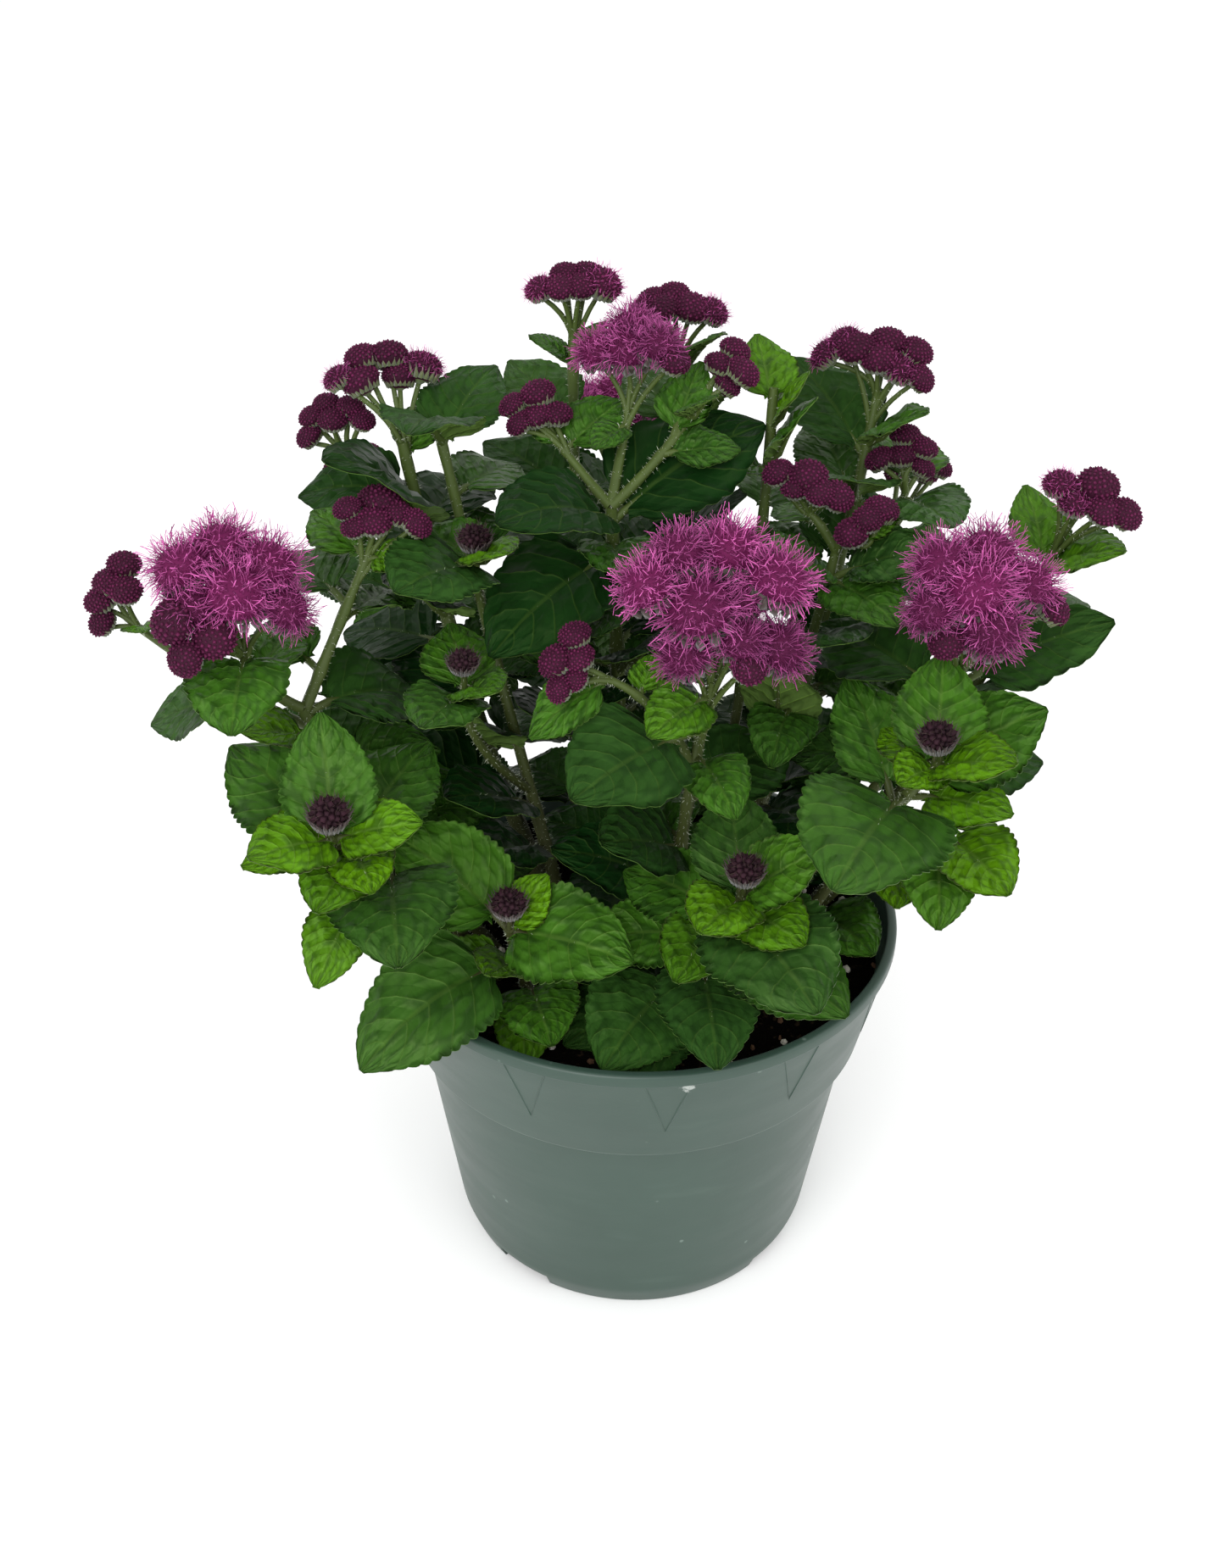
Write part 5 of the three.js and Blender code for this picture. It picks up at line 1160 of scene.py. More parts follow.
def leaf_sheet(leaf, look, random):
    """One blade as a closed thin sheet, its rim cut into rounded teeth.

    Gives its corners, its faces, and each corner's place on the map and side of the blade.
    """
    rows = look.teeth * 2 if leaf.blade > FINE_BLADE else int(look.teeth * 1.5)
    if leaf.tone < COARSE_TONE:
        rows = look.teeth
    columns = np.array([-a for a in COLUMNS[:0:-1]] + list(COLUMNS))
    steps = np.linspace(0, 1, rows + 1) ** ROW_POWER
    rim_steps = np.linspace(0, 1, 2 * rows + 1) ** ROW_POWER
    s_inner, a_inner = np.meshgrid(steps, columns[1:-1], indexing="ij")
    s = np.concatenate([s_inner.ravel(), rim_steps, rim_steps])
    a = np.concatenate([a_inner.ravel(), np.full(2 * rows + 1, -1.0), np.full(2 * rows + 1, 1.0)])
    cut = np.tile(NOTCH_STEPS, rows)[: 2 * rows + 1] * np.clip(rim_steps * 9, 0, 1)
    notch = np.concatenate([np.zeros(s_inner.size), cut, cut]) * NOTCH
    s = s * END_SHARE - BASE_LOBE * np.abs(a) ** 1.5 * (1 - s) ** 8
    inner = np.clip(s, 0.003, 1)
    half = np.maximum(leaf.width / 2 * leaf.size * blade_shape(inner), 1.0) * (1 - notch)
    points, normal = blade_points(leaf, s, a, half, blade_relief(leaf, look, s, a, half, random))
    thick = (look.thickness / MM / 2 * (1 - 0.5 * np.abs(a)))[:, None]
    corners = np.concatenate([points + normal * thick, points - normal * thick])
    count, width = len(s), len(columns) - 2
    grid = np.arange(s_inner.size).reshape(rows + 1, width)
    left = s_inner.size + np.arange(2 * rows + 1)
    right = left + 2 * rows + 1
    top = []
    for row in range(rows):
        here, there = grid[row], grid[row + 1]
        for k in range(width - 1):
            top += [(here[k], there[k], there[k + 1]), (here[k], there[k + 1], here[k + 1])]
        near, middle, far = left[2 * row : 2 * row + 3]
        top += [(near, middle, here[0]), (middle, there[0], here[0]), (middle, far, there[0])]
        near, middle, far = right[2 * row : 2 * row + 3]
        top += [(near, here[-1], middle), (middle, here[-1], there[-1]), (middle, there[-1], far)]
    rim = [*left, *grid[-1], *right[::-1], *grid[0][::-1]]
    wall = [(b, a, a + count, b + count) for a, b in zip(rim, rim[1:] + rim[:1])]
    faces = [face[::-1] for face in top] + [tuple(k + count for k in face) for face in top] + wall
    places = np.stack([np.clip(s, 0, 1), (a + 1) / 2], -1)
    return corners, faces, np.concatenate([places, places]), np.repeat((0.0, 1.0), count)


def leaves_object(name, leaves, look, random):
    """All the blades of one shoot as one piece."""
    corners, faces, places, unders, tones, slots = [], [], [], [], [], []
    for leaf in leaves:
        start = sum(map(len, corners))
        sheet, sheet_faces, sheet_places, under = leaf_sheet(leaf, look, random)
        corners.append(sheet)
        faces.extend(tuple(k + start for k in face) for face in sheet_faces)
        places.append(sheet_places)
        unders.append(under)
        tones.append(np.full(len(sheet), leaf.tone + random.uniform(-0.1, 0.1)))
        # Leaves darker than the shaded tone get the shaded leaf, a painted-shade copy of the leaf material.
        slots.append(np.full(len(sheet_faces), int(leaf.tone < SHADED_TONE), np.int32))
    mesh = mesh_from(name, np.concatenate(corners), faces)
    put_values(mesh, "under", np.concatenate(unders))
    put_values(mesh, "tone", np.concatenate(tones))
    loops = np.zeros(len(mesh.loops), np.int32)
    mesh.loops.foreach_get("vertex_index", loops)
    layer = mesh.uv_layers.new(name="blade")
    layer.uv.foreach_set("vector", np.concatenate(places)[loops].astype(np.float32).ravel())
    mesh.materials.append(bpy.data.materials["leaf"])
    mesh.materials.append(bpy.data.materials["shaded leaf"])
    mesh.polygons.foreach_set("material_index", np.concatenate(slots))
    return new_object(name, mesh)


# ---- Stems and stalks ----

RIB_SHARE = 0.6
NODE_SWELL = 0.25
NODE_LENGTH = 0.03
STEM_TAPER = 0.35
STALK_RADIUS = 1.15
PEDICEL_RADII = (0.85, 0.7)


def stem_paths(plant):
    """Paths with radii: the stems, every leaf's stalk with its midrib, and the heads' stalks."""
    paths = []
    for index, (row, curve) in enumerate(zip(plant.shoot.stems, plant.curves)):
        joints = [leaf.place for leaf in plant.leaves if leaf.stem == index]
        points = curve_points(curve, 14 if index else 28)
        t = np.linspace(0, 1, len(points))
        swell = sum((np.exp(-(((t - place) / NODE_LENGTH) ** 2)) for place in joints), np.zeros(len(t)))
        radii = row[-1] * (1 - STEM_TAPER * t) * (1 + NODE_SWELL * np.minimum(swell, 1))
        paths.append((points, radii))
    for leaf in plant.leaves:
        whole = leaf.stalk + leaf.blade
        shares = np.linspace(0, (leaf.stalk + RIB_SHARE * leaf.blade) / whole, 9)
        place, _, normal = leaf_frame(leaf, shares)
        beyond = np.clip((shares * whole - leaf.stalk) / leaf.blade, 0, 1)
        radii = np.clip(STALK_RADIUS - 1.5 * beyond, 0.3, None) * (0.7 + 0.3 * leaf.size * leaf.blade / 34)
        sunk = (radii * 0.75 + 0.55)[:, None]
        paths.append((place - normal * sunk * np.clip(beyond * 12, 0, 1)[:, None], radii))
    for kind, head in plant.heads:
        foot = head.centre - head.axis * HEAD_DEPTH[kind] * head.radius * 0.9
        reach = np.linalg.norm(foot - head.tip)
        bend = head.tip + head.tangent * reach * 0.3 + head.axis * reach * 0.2
        paths.append((curve_points((head.tip, bend, foot), 6), np.linspace(*PEDICEL_RADII, 6)))
    return paths


def paths_mesh(name, paths):
    edges, count = [], 0
    for points, _ in paths:
        edges.extend((count + i, count + i + 1) for i in range(len(points) - 1))
        count += len(points)
    mesh = mesh_from(name, np.concatenate([points for points, _ in paths]), edges=edges)
    put_values(mesh, "radius", np.concatenate([radii for _, radii in paths]) * MM)
    return mesh


def stem_tree():
    """Follows paths with round stems and covers them with thin pointed hairs, a little askew."""
    nodes, given = growth_tree(
        "Hairy stems", Sides="Int", Stem_material="Material", Hair_material="Material",
        Hairs="Float", Hair_length="Float", Hair_width="Float", Seed="Int",
    )
    seed, radius = given["Seed"], nodes.named("radius")
    paths = nodes.add("GeometryNodeMeshToCurve", {"Mesh": given["Geometry"]})
    sized = nodes.add("GeometryNodeSetCurveRadius", {"Curve": paths, "Radius": radius})
    stems = nodes.smooth(nodes.tube(sized, nodes.circle(given["Sides"], 1.0), Scale=radius))
    roots = nodes.scattered(stems, given["Hairs"], seed)
    hair = nodes.cone(3, given["Hair width"], 0.0, given["Hair length"], fill_type="NONE")
    tilt = nodes.turn(nodes.random((-0.5,) * 3, (0.5,) * 3, seed))
    askew = nodes.turned(roots.other("Rotation"), tilt)
    hairs = nodes.painted(
        nodes.copies(roots, hair, askew, nodes.random(0.35, 1.0, seed)), given["Hair material"]
    )
    both = nodes.joined(hairs, nodes.painted(stems, given["Stem material"]))
    nodes.give(Geometry=nodes.realized(both))


# ---- Flower heads: sizes are shares of a head's radius ----

CORE_RADIUS = 1.03
FLORET_SPAN = 1.25
THREAD_SPAN = 1.45
ASKEW = 0.12
BRACT_RING = 0.62
BRACT_LEAN = 0.55
CUP_SINK = 0.78
CURL_POWER = 1.4


def golden_points(nodes, count, span, stretch):
    """Evenly spread points on the top of a unit ball, and the direction of each from its middle."""
    index = nodes.index() + 0.5
    height = 1.0 - index / count * span
    around = index * GOLDEN_ANGLE
    out = nodes.math("SQRT", nodes.larger(1.0 - height * height, 0.0))
    x, y = out * nodes.math("COSINE", around), out * nodes.math("SINE", around)
    direction = nodes.combine(x, y, height)
    return nodes.points(count, nodes.vector("MULTIPLY", direction, stretch)), direction


def pointing(nodes, direction, tilt, seed):
    """A turn that takes +Z to a direction, a little askew, and spins freely round it."""
    lean = nodes.scaled(nodes.random((-1.0,) * 3, (1.0,) * 3, seed), tilt)
    aim = nodes.vector("ADD", direction, lean)
    aimed = nodes.add("FunctionNodeAlignRotationToVector", {"Vector": aim}, axis="Z")
    spin = nodes.combine(0.0, 0.0, nodes.random(0.0, FULL_TURN, seed))
    return nodes.turned(aimed, nodes.turn(spin))


def graded(nodes, shape, name, low, high, material):
    """A painted shape that carries how far up each of its corners is."""
    return nodes.painted(nodes.stored(shape, name, nodes.height_share(low, high)), material)


def head_tree():
    """Flower heads on points: a core, a cup of bracts, packed florets and fine curling threads."""
    nodes, given = growth_tree(
        "Flower heads", Florets="Int", Floret_size="Float", Core="Float", Flatness="Float",
        Threads="Int", Thread_length="Float", Thread_width="Float", Thread_lean="Float", Curl="Float",
        Bracts="Int", Bract_length="Float", Seed="Int",
        Floret_material="Material", Thread_material="Material", Bract_material="Material",
    )
    core_size, thread_width, seed = given["Core"], given["Thread width"], given["Seed"]
    stretch = nodes.combine(core_size, core_size, core_size * given["Flatness"])
    ball = nodes.add("GeometryNodeMeshUVSphere", {"Segments": 16, "Rings": 8, "Radius": CORE_RADIUS})
    core = nodes.painted(nodes.moved(ball, Scale=stretch), given["Floret material"])

    spots, direction = golden_points(nodes, given["Florets"], FLORET_SPAN, stretch)
    nub = graded(nodes, nodes.cone(4, 1.15, 0.0, 1.3), "lift", 0.3, 1.3, given["Floret material"])
    size = nodes.random(0.8, 1.15, seed) * given["Floret size"]
    aim = pointing(nodes, direction, ASKEW, seed)
    florets = nodes.shaded_copies(spots, nub, aim, size, seed)

    angle = nodes.index() * FULL_TURN / given["Bracts"]
    x, y = nodes.math("COSINE", angle), nodes.math("SINE", angle)
    ring = nodes.points(given["Bracts"], nodes.combine(x * BRACT_RING, y * BRACT_RING, -0.55))
    leaflet = graded(nodes, nodes.cone(4, 0.14, 0.0, 0.72, 2), "lift", 0.1, 0.7, given["Bract material"])
    aim = pointing(nodes, nodes.combine(x * BRACT_LEAN, y * BRACT_LEAN, 1.0), ASKEW, seed)
    bracts = nodes.shaded_copies(ring, leaflet, aim, nodes.combine(1.0, 1.0, given["Bract length"]), seed)
    cup = nodes.moved(nodes.cone(16, 0.12, 0.74, 0.5), Translation=(0.0, 0.0, -CUP_SINK))
    cup = nodes.painted(cup, given["Bract material"])

    haze, ray = golden_points(nodes, given["Threads"], THREAD_SPAN, stretch)
    thread = nodes.cone(3, thread_width, thread_width * 0.45, 1.0, 3)
    thread = graded(nodes, thread, "reach", 0.0, 1.0, given["Thread material"])
    reach = nodes.random(0.6, 1.15, seed) * given["Thread length"]
    aim = pointing(nodes, ray, given["Thread lean"], seed)
    threads = nodes.shaded_copies(haze, thread, aim, nodes.combine(1.0, 1.0, reach), seed)

    head = nodes.joined(core, florets, bracts, cup, threads)
    aim = pointing(nodes, nodes.named("axis", "FLOAT_VECTOR"), 0.0, seed)
    heads = nodes.realized(nodes.copies(given["Geometry"], head, aim, nodes.named("radius")))
    wave = nodes.noise(nodes.add("GeometryNodeInputPosition"), 300.0, 1.5).other("Color")
    push = nodes.vector("SUBTRACT", wave, (0.5,) * 3)
    curl = nodes.scaled(push, nodes.named("reach") ** CURL_POWER * given["Curl"])
    curled = nodes.add("GeometryNodeSetPosition", {"Geometry": heads, "Offset": curl})
    nodes.give(Geometry=nodes.smooth(curled))


def heads_mesh(name, heads, tints_and_shades):
    """The heads' centres as corners, each with its radius, colour factor with painted shade, and axis."""
    mesh = mesh_from(name, [head.centre for head in heads])
    put_values(mesh, "radius", [head.radius * MM for head in heads])
    put_values(mesh, "tint", tints_and_shades)
    put_values(mesh, "axis", [head.axis for head in heads], "FLOAT_VECTOR")
    return mesh


# ---- Pot and soil ----

COLLAR_BOTTOM = 79.5
COLLAR_RADIUS = 72.0
COLLAR_SLOPE = 6.8 / 33
BODY_TOP_RADIUS = 68.6
HEEL = (58.6, 7.0)
FOOT_RADIUS = 56.0
POT_FLOOR = 2.0
LIP_STEP = 1.2
LIP_HEIGHT = 4.0
SHARP_ANGLE = 35
DRAIN_WIDTH = 19.0
DRAIN_DEPTH = 14.0
DRAIN_HEIGHT = 5.0
DRAIN_TURN = -38.0
RIBS = 12
RIB_WIDTH = 0.32
RIB_SINK = 0.12
RIB_SPREAD = 4.8
RIB_FOOT = 91
RIB_FIRST = -84
SOIL_FLOOR = 96
SOIL_GAP = 0.6
SOIL_STEPS = 40
SOIL_DISH = 1.6
SOIL_LUMP = 0.9


def rounded(corners, steps=3):
    """A profile with each corner turned into a small arc. A corner is (radius, height, rounding)."""
    points = []
    for index, (r, z, rounding) in enumerate(corners):
        here = np.array((r, z))
        if rounding == 0:
            points.append(here)
            continue
        before = np.array(corners[index - 1][:2]) - here
        after = np.array(corners[index + 1][:2]) - here
        start = here + before / np.linalg.norm(before) * rounding
        end = here + after / np.linalg.norm(after) * rounding
        points.extend(curve_points((start, here, end), steps + 1))
    return np.array(points)


def lathe(name, profile, sides):
    """A closed body turned round the upright axis from a profile that starts and ends on it."""
    angles = np.arange(sides) * FULL_TURN / sides
    inner = profile[1:-1]
    rings = np.stack([
        np.outer(inner[:, 0], np.cos(angles)),
        np.outer(inner[:, 0], np.sin(angles)),
        np.repeat(inner[:, 1:], sides, 1),
    ], -1).reshape(-1, 3)
    bottom, top = len(rings), len(rings) + 1
    last = bottom - sides
    pairs = [(side, (side + 1) % sides) for side in range(sides)]
    faces = [(k + a, k + b, k + b + sides, k + a + sides) for k in range(0, last, sides) for a, b in pairs]
    for a, b in pairs:
        faces += [(bottom, b, a), (top, last + a, last + b)]
    mesh = mesh_from(name, [*rings, (0, 0, profile[0, 1]), (0, 0, profile[-1, 1])], faces)
    mesh.set_sharp_from_angle(angle=math.radians(SHARP_ANGLE))
    return mesh


def pot_profile(look):
    height, rim, wall = look.height / MM, look.rim_radius / MM, look.wall / MM
    return rounded([
        (0, 0, 0), (FOOT_RADIUS, 0, 1.0), (*HEEL, 1.5),
        (BODY_TOP_RADIUS, COLLAR_BOTTOM - 1.4, 0.5), (COLLAR_RADIUS, COLLAR_BOTTOM, 0.9),
        (rim - LIP_STEP, height - LIP_HEIGHT, 0.5), (rim, height - LIP_HEIGHT, 0.5), (rim, height, 1.2),
        (rim - LIP_STEP - wall, height, 0.5), (COLLAR_RADIUS - wall, COLLAR_BOTTOM + wall, 0.5),
        (BODY_TOP_RADIUS - wall, COLLAR_BOTTOM - wall, 0.5), (FOOT_RADIUS - wall, POT_FLOOR, 1.0),
        (0, POT_FLOOR, 0),
    ])


def drain_cutter(turn):
    """A box across the pot's foot that cuts one drain notch."""
    x, y, z = DRAIN_WIDTH / 2, DRAIN_DEPTH / 2, DRAIN_HEIGHT
    corners = [(i, j - FOOT_RADIUS, k) for i in (-x, x) for j in (-y, y) for k in (-z, z)]
    faces = [(0, 1, 3, 2), (4, 6, 7, 5), (0, 4, 5, 1), (2, 3, 7, 6), (0, 2, 6, 4), (1, 5, 7, 3)]
    mesh = mesh_from("notch", corners, faces, flat=True)
    mesh.transform(Matrix.Rotation(math.radians(turn), 4, "Z"))
    return new_object("notch", mesh)


def collar_tree():
    """A shallow moulded rib in the shape of a V, repeated evenly round the collar."""
    nodes, given = growth_tree(
        "Collar ribs", Count="Int", Width="Float", First="Float", Material="Material"
    )
    line = nodes.add("GeometryNodeMeshToCurve", {"Mesh": given["Geometry"]})
    rib = nodes.tube(line, nodes.circle(8, given["Width"]))
    angle = nodes.index() * (FULL_TURN / given["Count"]) + given["First"]
    turn = nodes.turn(nodes.combine(0.0, 0.0, angle))
    ribs = nodes.realized(nodes.copies(nodes.points(given["Count"]), rib, turn))
    nodes.give(Geometry=nodes.painted(nodes.smooth(ribs), given["Material"]))


def collar_line(look):
    """The V of one rib, lying on the collar's slope, as edges."""
    lip, rim = look.height / MM - LIP_HEIGHT, look.rim_radius / MM - LIP_STEP
    corners = []
    for step in (-1, -0.5, 0, 0.5, 1):
        z = RIB_FOOT + (lip - 0.3 - RIB_FOOT) * abs(step)
        slope = (z - COLLAR_BOTTOM) / (lip - COLLAR_BOTTOM)
        r = COLLAR_RADIUS + slope * (rim - COLLAR_RADIUS) - RIB_SINK
        angle = math.radians(RIB_SPREAD * step)
        corners.append((r * math.cos(angle), r * math.sin(angle), z))
    return mesh_from("collar line", corners, edges=[(i, i + 1) for i in range(4)])


def soil_surface(look):
    """A lumpy bed, dished a little at the pot's wall, closed underneath."""
    radius = COLLAR_RADIUS + (SOIL_HEIGHT - COLLAR_BOTTOM) * COLLAR_SLOPE - look.wall / MM - SOIL_GAP
    profile = [(0, SOIL_FLOOR), (radius - 3, SOIL_FLOOR), (radius - 0.4, SOIL_HEIGHT - 2)]
    for step in range(1, SOIL_STEPS):
        share = 1 - step / SOIL_STEPS
        profile.append((radius * share, SOIL_HEIGHT - SOIL_DISH * share**12))
    mesh = lathe("soil", np.array([*profile, (0, SOIL_HEIGHT)], float), 96)
    for corner in mesh.vertices:
        x, y, z = corner.co / MM
        if z > SOIL_HEIGHT - 3:
            lump = math.sin(0.21 * x + 1) * math.cos(0.17 * y) + 0.6 * math.sin(0.53 * y + 0.4 * x)
            lump += 0.35 * math.sin(1.1 * x - 0.7 * y) * math.cos(0.9 * y)
            corner.co.z += SOIL_LUMP * lump * MM
    return mesh


def soil_tree():
    """Scatters crumbs of many sizes over the bed."""
    nodes, given = growth_tree(
        "Soil crumbs", Crumbs="Float", Grain="Float", Seed="Int",
        Soil_material="Material", Crumb_material="Material",
    )
    bed, seed = given["Geometry"], given["Seed"]
    level = nodes.part(nodes.add("GeometryNodeInputNormal"), 2)
    upward = nodes.add("FunctionNodeCompare", {0: level, 1: 0.5}, operation="GREATER_THAN")
    spots = nodes.scattered(bed, given["Crumbs"], seed, Selection=upward)
    crumb = nodes.add("GeometryNodeMeshIcoSphere", {"Radius": 0.5, "Subdivisions": 1})
    grain = (nodes.random(0.0, 1.0, seed) ** 3.0 * 0.8 + 0.2) * given["Grain"]
    size = nodes.scaled(nodes.random((0.6, 0.6, 0.35), (1.3, 1.0, 0.8)), grain)
    turn = nodes.turn(nodes.random((0.0,) * 3, (FULL_TURN,) * 3))
    crumbs = nodes.painted(nodes.shaded_copies(spots, crumb, turn, size, seed), given["Crumb material"])
    both = nodes.joined(crumbs, nodes.painted(bed, given["Soil material"]))
    nodes.give(Geometry=nodes.realized(both))


# ---- Operators ----


class PieceOperator:
    """What every operator of this add-on shares"""

    bl_options = {"REGISTER", "UNDO"}

    def look(self):
        return bpy.context.scene.ageratum


class AGERATUM_OT_finishes(PieceOperator, bpy.types.Operator):
    """Makes the shared surface effects, the materials and the growth trees"""

    bl_idname = "ageratum.finishes"
    bl_label = "Finishes"

    def execute(self, context):
        look = self.look()
        head = look.head
        mottle_group()
        vein_group()
        leaf_material("leaf", look.leaf, 0.32)
        # A painted-shade copy of the leaf, with less gloss, for leaves deep inside the plant.
        leaf_material("shaded leaf", look.leaf, 0.1)
        stem_material(look.stem)
        hair_material(look.stem)
        floret_material("closed florets", head.closed, head.closed_tip, "lift", 0.6)
        floret_material("threads", head.thread_root, head.thread, "reach", 0.2)
        floret_material("young florets", head.young, head.young_tip, "lift", 0.4)
        floret_material("young hairs", head.young_tip, head.young_hair, "reach", 0.3)
        bract_material("bract", head.bract, (0.06, 0.016, 0.03))
        bract_material("dark bract", head.young_hair, head.young_tip)
        plastic_material(look.pot)
        soil_material(look.pot)
        crumb_material(look.pot)
        floor_material(look.stage)
        stem_tree()
        head_tree()
        collar_tree()
        soil_tree()
        return {"FINISHED"}


class AGERATUM_OT_pot(PieceOperator, bpy.types.Operator):
    """Makes the moulded pot with its drain notches and the ribs on its collar"""

    bl_idname = "ageratum.pot"
    bl_label = "Pot"

    def execute(self, context):
        look = self.look().pot
        mesh = lathe("pot body", pot_profile(look), look.sides)
        mesh.materials.append(bpy.data.materials["plastic"])
        pot = new_object("pot_body", mesh)
        cutters = [drain_cutter(DRAIN_TURN + 90 * drain) for drain in range(4)]
        for cutter in cutters:
            cut = pot.modifiers.new("Drain", "BOOLEAN")
            cut.object = cutter
            cut.solver = "EXACT"
        baked(pot)
        for cutter in cutters:
            bpy.data.objects.remove(cutter)
        piece(pot, "pot", "pot")
        ribs = grow("pot_collar_ribs", collar_line(look), "Collar ribs", {
            "Count": RIBS, "Width": RIB_WIDTH * MM, "First": math.radians(RIB_FIRST), "Material": "plastic",
        })
        piece(ribs, "pot", "pot")
        return {"FINISHED"}


class AGERATUM_OT_soil(PieceOperator, bpy.types.Operator):
    """Makes the soil with its crumbs, bark and pale grains"""

    bl_idname = "ageratum.soil"
    bl_label = "Soil"

    def execute(self, context):
        look = self.look()
        soil = grow("soil_bed", soil_surface(look.pot), "Soil crumbs", {
            "Crumbs": look.pot.crumbs, "Grain": look.pot.grain, "Seed": look.head.seed,
            "Soil material": "damp soil", "Crumb material": "crumb",
        })
        piece(soil, "soil", "soil")
        return {"FINISHED"}


class AGERATUM_OT_greenery(PieceOperator, bpy.types.Operator):
    """Makes every shoot's hairy stems, with the stalks of its leaves and heads, and its leaves"""

    bl_idname = "ageratum.greenery"
    bl_label = "Stems and leaves"

    def execute(self, context):
        look = self.look()
        random = np.random.default_rng(look.head.seed)
        plants = []
        for shoot in SHOOTS:
            curves = stem_curves(shoot)
            heads = [(flower[2], head) for flower in shoot.flowers for head in flower_heads(flower, curves)]
            plants.append(Plant(shoot, curves, shoot_leaves(shoot, curves), heads))
        add_axil_leaves(plants, look.leaf)
        for plant in plants:
            name = plant.shoot.name
            stems = grow(name + "_stems", paths_mesh(name, stem_paths(plant)), "Hairy stems", {
                "Sides": look.stem.sides, "Stem material": "stem", "Hair material": "hair",
                "Hairs": look.stem.hairs, "Hair length": look.stem.hair_length,
                "Hair width": look.stem.hair_width, "Seed": look.head.seed,
            })
            piece(stems, "foliage", name)
            piece(leaves_object(name + "_leaves", plant.leaves, look.leaf, random), "foliage", name)
        return {"FINISHED"}


HEAD_VALUES = (
    "Floret size", "Core", "Flatness", "Bracts", "Bract length", "Thread length", "Thread lean",
    "Floret material", "Thread material", "Bract material",
)
HEAD_LOOKS = {
    "bud": (0.1, 0.92, 0.74, 18, 1.0, 0.3, 0.6, "closed florets", "threads", "bract"),
    "opening": (0.1, 0.86, 0.74, 18, 1.0, 0.42, 0.7, "closed florets", "threads", "bract"),
    "open": (0.1, 0.7, 0.85, 12, 0.6, 0.5, 0.65, "threads", "threads", "dark bract"),
    "young": (0.22, 0.64, 0.8, 24, 1.4, 0.62, 0.8, "young florets", "young hairs", "dark bract"),
}
HEAD_SLOTS = {"bud": "buds", "opening": "buds", "open": "open_florets", "young": "young_buds"}
OPEN_RADIUS = 7.0
OPENING = (
    "cluster_upper_left", "cluster_top", "cluster_back_top", "cluster_upper_right", "cluster_far_right",
)
TINTS = {"bloom_top": 0.85}
# Open heads further below their cluster's top get painted shade, darker the further they drop.
SHADE_DEPTH = 20
MOST_SHADE = 1.2


class AGERATUM_OT_heads(PieceOperator, bpy.types.Operator):
    """Makes every cluster of closed, open or young flower heads"""

    bl_idname = "ageratum.heads"
    bl_label = "Flower heads"

    def execute(self, context):
        random = np.random.default_rng(self.look().head.seed)
        for shoot in SHOOTS:
            curves = stem_curves(shoot)
            for flower in shoot.flowers:
                name, _, kind, _ = flower
                groups = {}
                for index, head in enumerate(flower_heads(flower, curves)):
                    part = kind
                    if kind == "open" and head.radius < OPEN_RADIUS:
                        part = "bud"
                    if name in OPENING and index % 3 == 0:
                        part = "opening"
                    groups.setdefault(part, []).append(head)
                for part, heads in groups.items():
                    self.cluster(name, part, heads, random)
        return {"FINISHED"}

    def cluster(self, node, kind, heads, random):
        look = self.look().head
        opened = kind == "open"
        mean = sum(head.radius for head in heads) / len(heads) * MM
        top = max(head.centre[2] + head.radius for head in heads)
        drops = [(top - head.centre[2] - head.radius) / SHADE_DEPTH for head in heads]
        # Painted shade for open heads low in their cluster.
        shade_dims = [0.3 * min(drop, MOST_SHADE) if opened else 0 for drop in drops]
        tints_and_shades = [TINTS.get(node, 1.0) * random.uniform(0.85, 1.2) - shade_dim for shade_dim in shade_dims]
        name = node + "_" + kind
        obj = grow(name, heads_mesh(name, heads, tints_and_shades), "Flower heads", {
            **dict(zip(HEAD_VALUES, HEAD_LOOKS[kind])), "Seed": look.seed,
            "Florets": {"open": 0, "young": look.florets * 2 // 5}.get(kind, look.florets),
            "Threads": {"open": look.threads, "opening": look.tufts, "young": look.young_hairs}.get(kind, 0),
            "Thread width": look.thread_width / (2 if opened else 3) / mean,
            "Curl": look.curl if opened else look.curl / 3,
        })
        piece(obj, HEAD_SLOTS[kind], node)


CAMERA_LENS = 38.92
CAMERA_PLACE = (-0.00795, -0.42435, 0.42959)
CAMERA_PITCH = 32.444
CAMERA_ROLL = 0.518
FILL_SHARE = 0.4


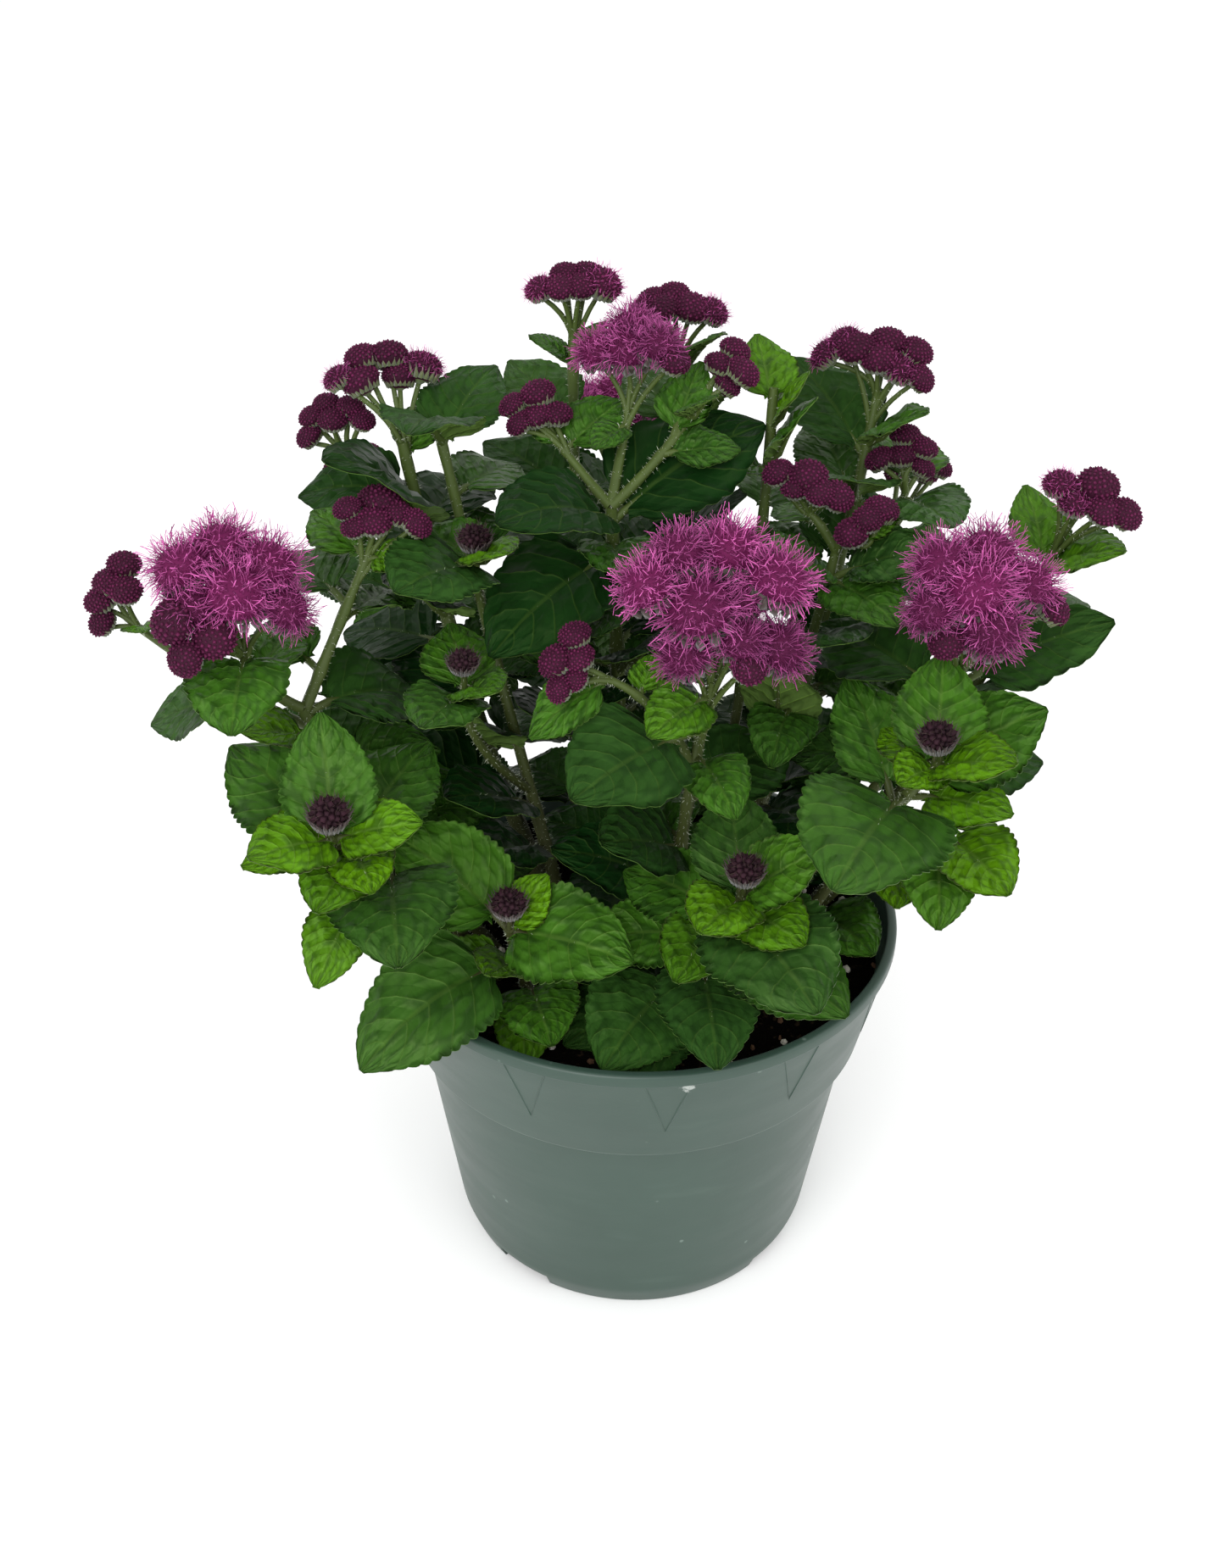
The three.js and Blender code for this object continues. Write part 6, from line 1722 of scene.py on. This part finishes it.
class AGERATUM_OT_stage(PieceOperator, bpy.types.Operator):
    """Makes the floor, the light and the camera"""

    bl_idname = "ageratum.stage"
    bl_label = "Stage"

    def execute(self, context):
        look = self.look().stage
        half = look.size / 2 / MM
        corners = [(-half, -half, 0), (half, -half, 0), (half, half, 0), (-half, half, 0)]
        mesh = mesh_from("floor", corners, [(0, 1, 2, 3)], flat=True)
        mesh.materials.append(bpy.data.materials["floor"])
        new_object("floor", mesh)
        world = bpy.data.worlds.new("studio")
        world.use_nodes = True
        background = world.node_tree.nodes["Background"].inputs
        background["Color"].default_value = (1, 1, 1, 1)
        background["Strength"].default_value = look.sky
        context.scene.world = world
        self.light("key", look.key, 1.0, (-0.45, -1.1, 0.85), 58, -22)
        self.light("fill", look.key * FILL_SHARE, 1.2, (0.9, -0.7, 0.7), 58, 50)
        camera = bpy.data.cameras.new("camera")
        camera.lens = CAMERA_LENS
        camera.clip_start = 0.01
        obj = new_object("camera", camera)
        pitch = Matrix.Rotation(math.radians(90 - CAMERA_PITCH), 4, "X")
        roll = Matrix.Rotation(math.radians(CAMERA_ROLL), 4, "Z")
        obj.matrix_world = Matrix.Translation(CAMERA_PLACE) @ pitch @ roll
        context.scene.camera = obj
        context.scene.view_settings.view_transform = "Standard"
        return {"FINISHED"}

    def light(self, name, power, size, place, tilt, turn):
        data = bpy.data.lights.new(name, "AREA")
        data.energy = power
        data.size = size
        obj = new_object(name, data)
        obj.location = place
        obj.rotation_euler = (math.radians(tilt), 0, math.radians(turn))


class AGERATUM_PT_panel(bpy.types.Panel):
    """Buttons for the potted plant's pieces"""

    bl_label = "Potted Ageratum"
    bl_space_type = "VIEW_3D"
    bl_region_type = "UI"
    bl_category = "Ageratum"

    def draw(self, context):
        for operator in OPERATORS:
            self.layout.operator(operator.bl_idname)


OPERATORS = (
    AGERATUM_OT_finishes,
    AGERATUM_OT_pot,
    AGERATUM_OT_soil,
    AGERATUM_OT_greenery,
    AGERATUM_OT_heads,
    AGERATUM_OT_stage,
)
CLASSES = (
    PotSettings,
    LeafSettings,
    StemSettings,
    HeadSettings,
    StageSettings,
    PlantSettings,
    *OPERATORS,
    AGERATUM_PT_panel,
)


def register():
    for item in CLASSES:
        bpy.utils.register_class(item)
    bpy.types.Scene.ageratum = bpy.props.PointerProperty(type=PlantSettings)


def unregister():
    del bpy.types.Scene.ageratum
    for item in reversed(CLASSES):
        bpy.utils.unregister_class(item)


def main():
    register()
    bpy.ops.ageratum.finishes()
    bpy.ops.ageratum.pot()
    bpy.ops.ageratum.soil()
    bpy.ops.ageratum.greenery()
    bpy.ops.ageratum.heads()
    bpy.ops.ageratum.stage()


if __name__ == "__main__":
    main()
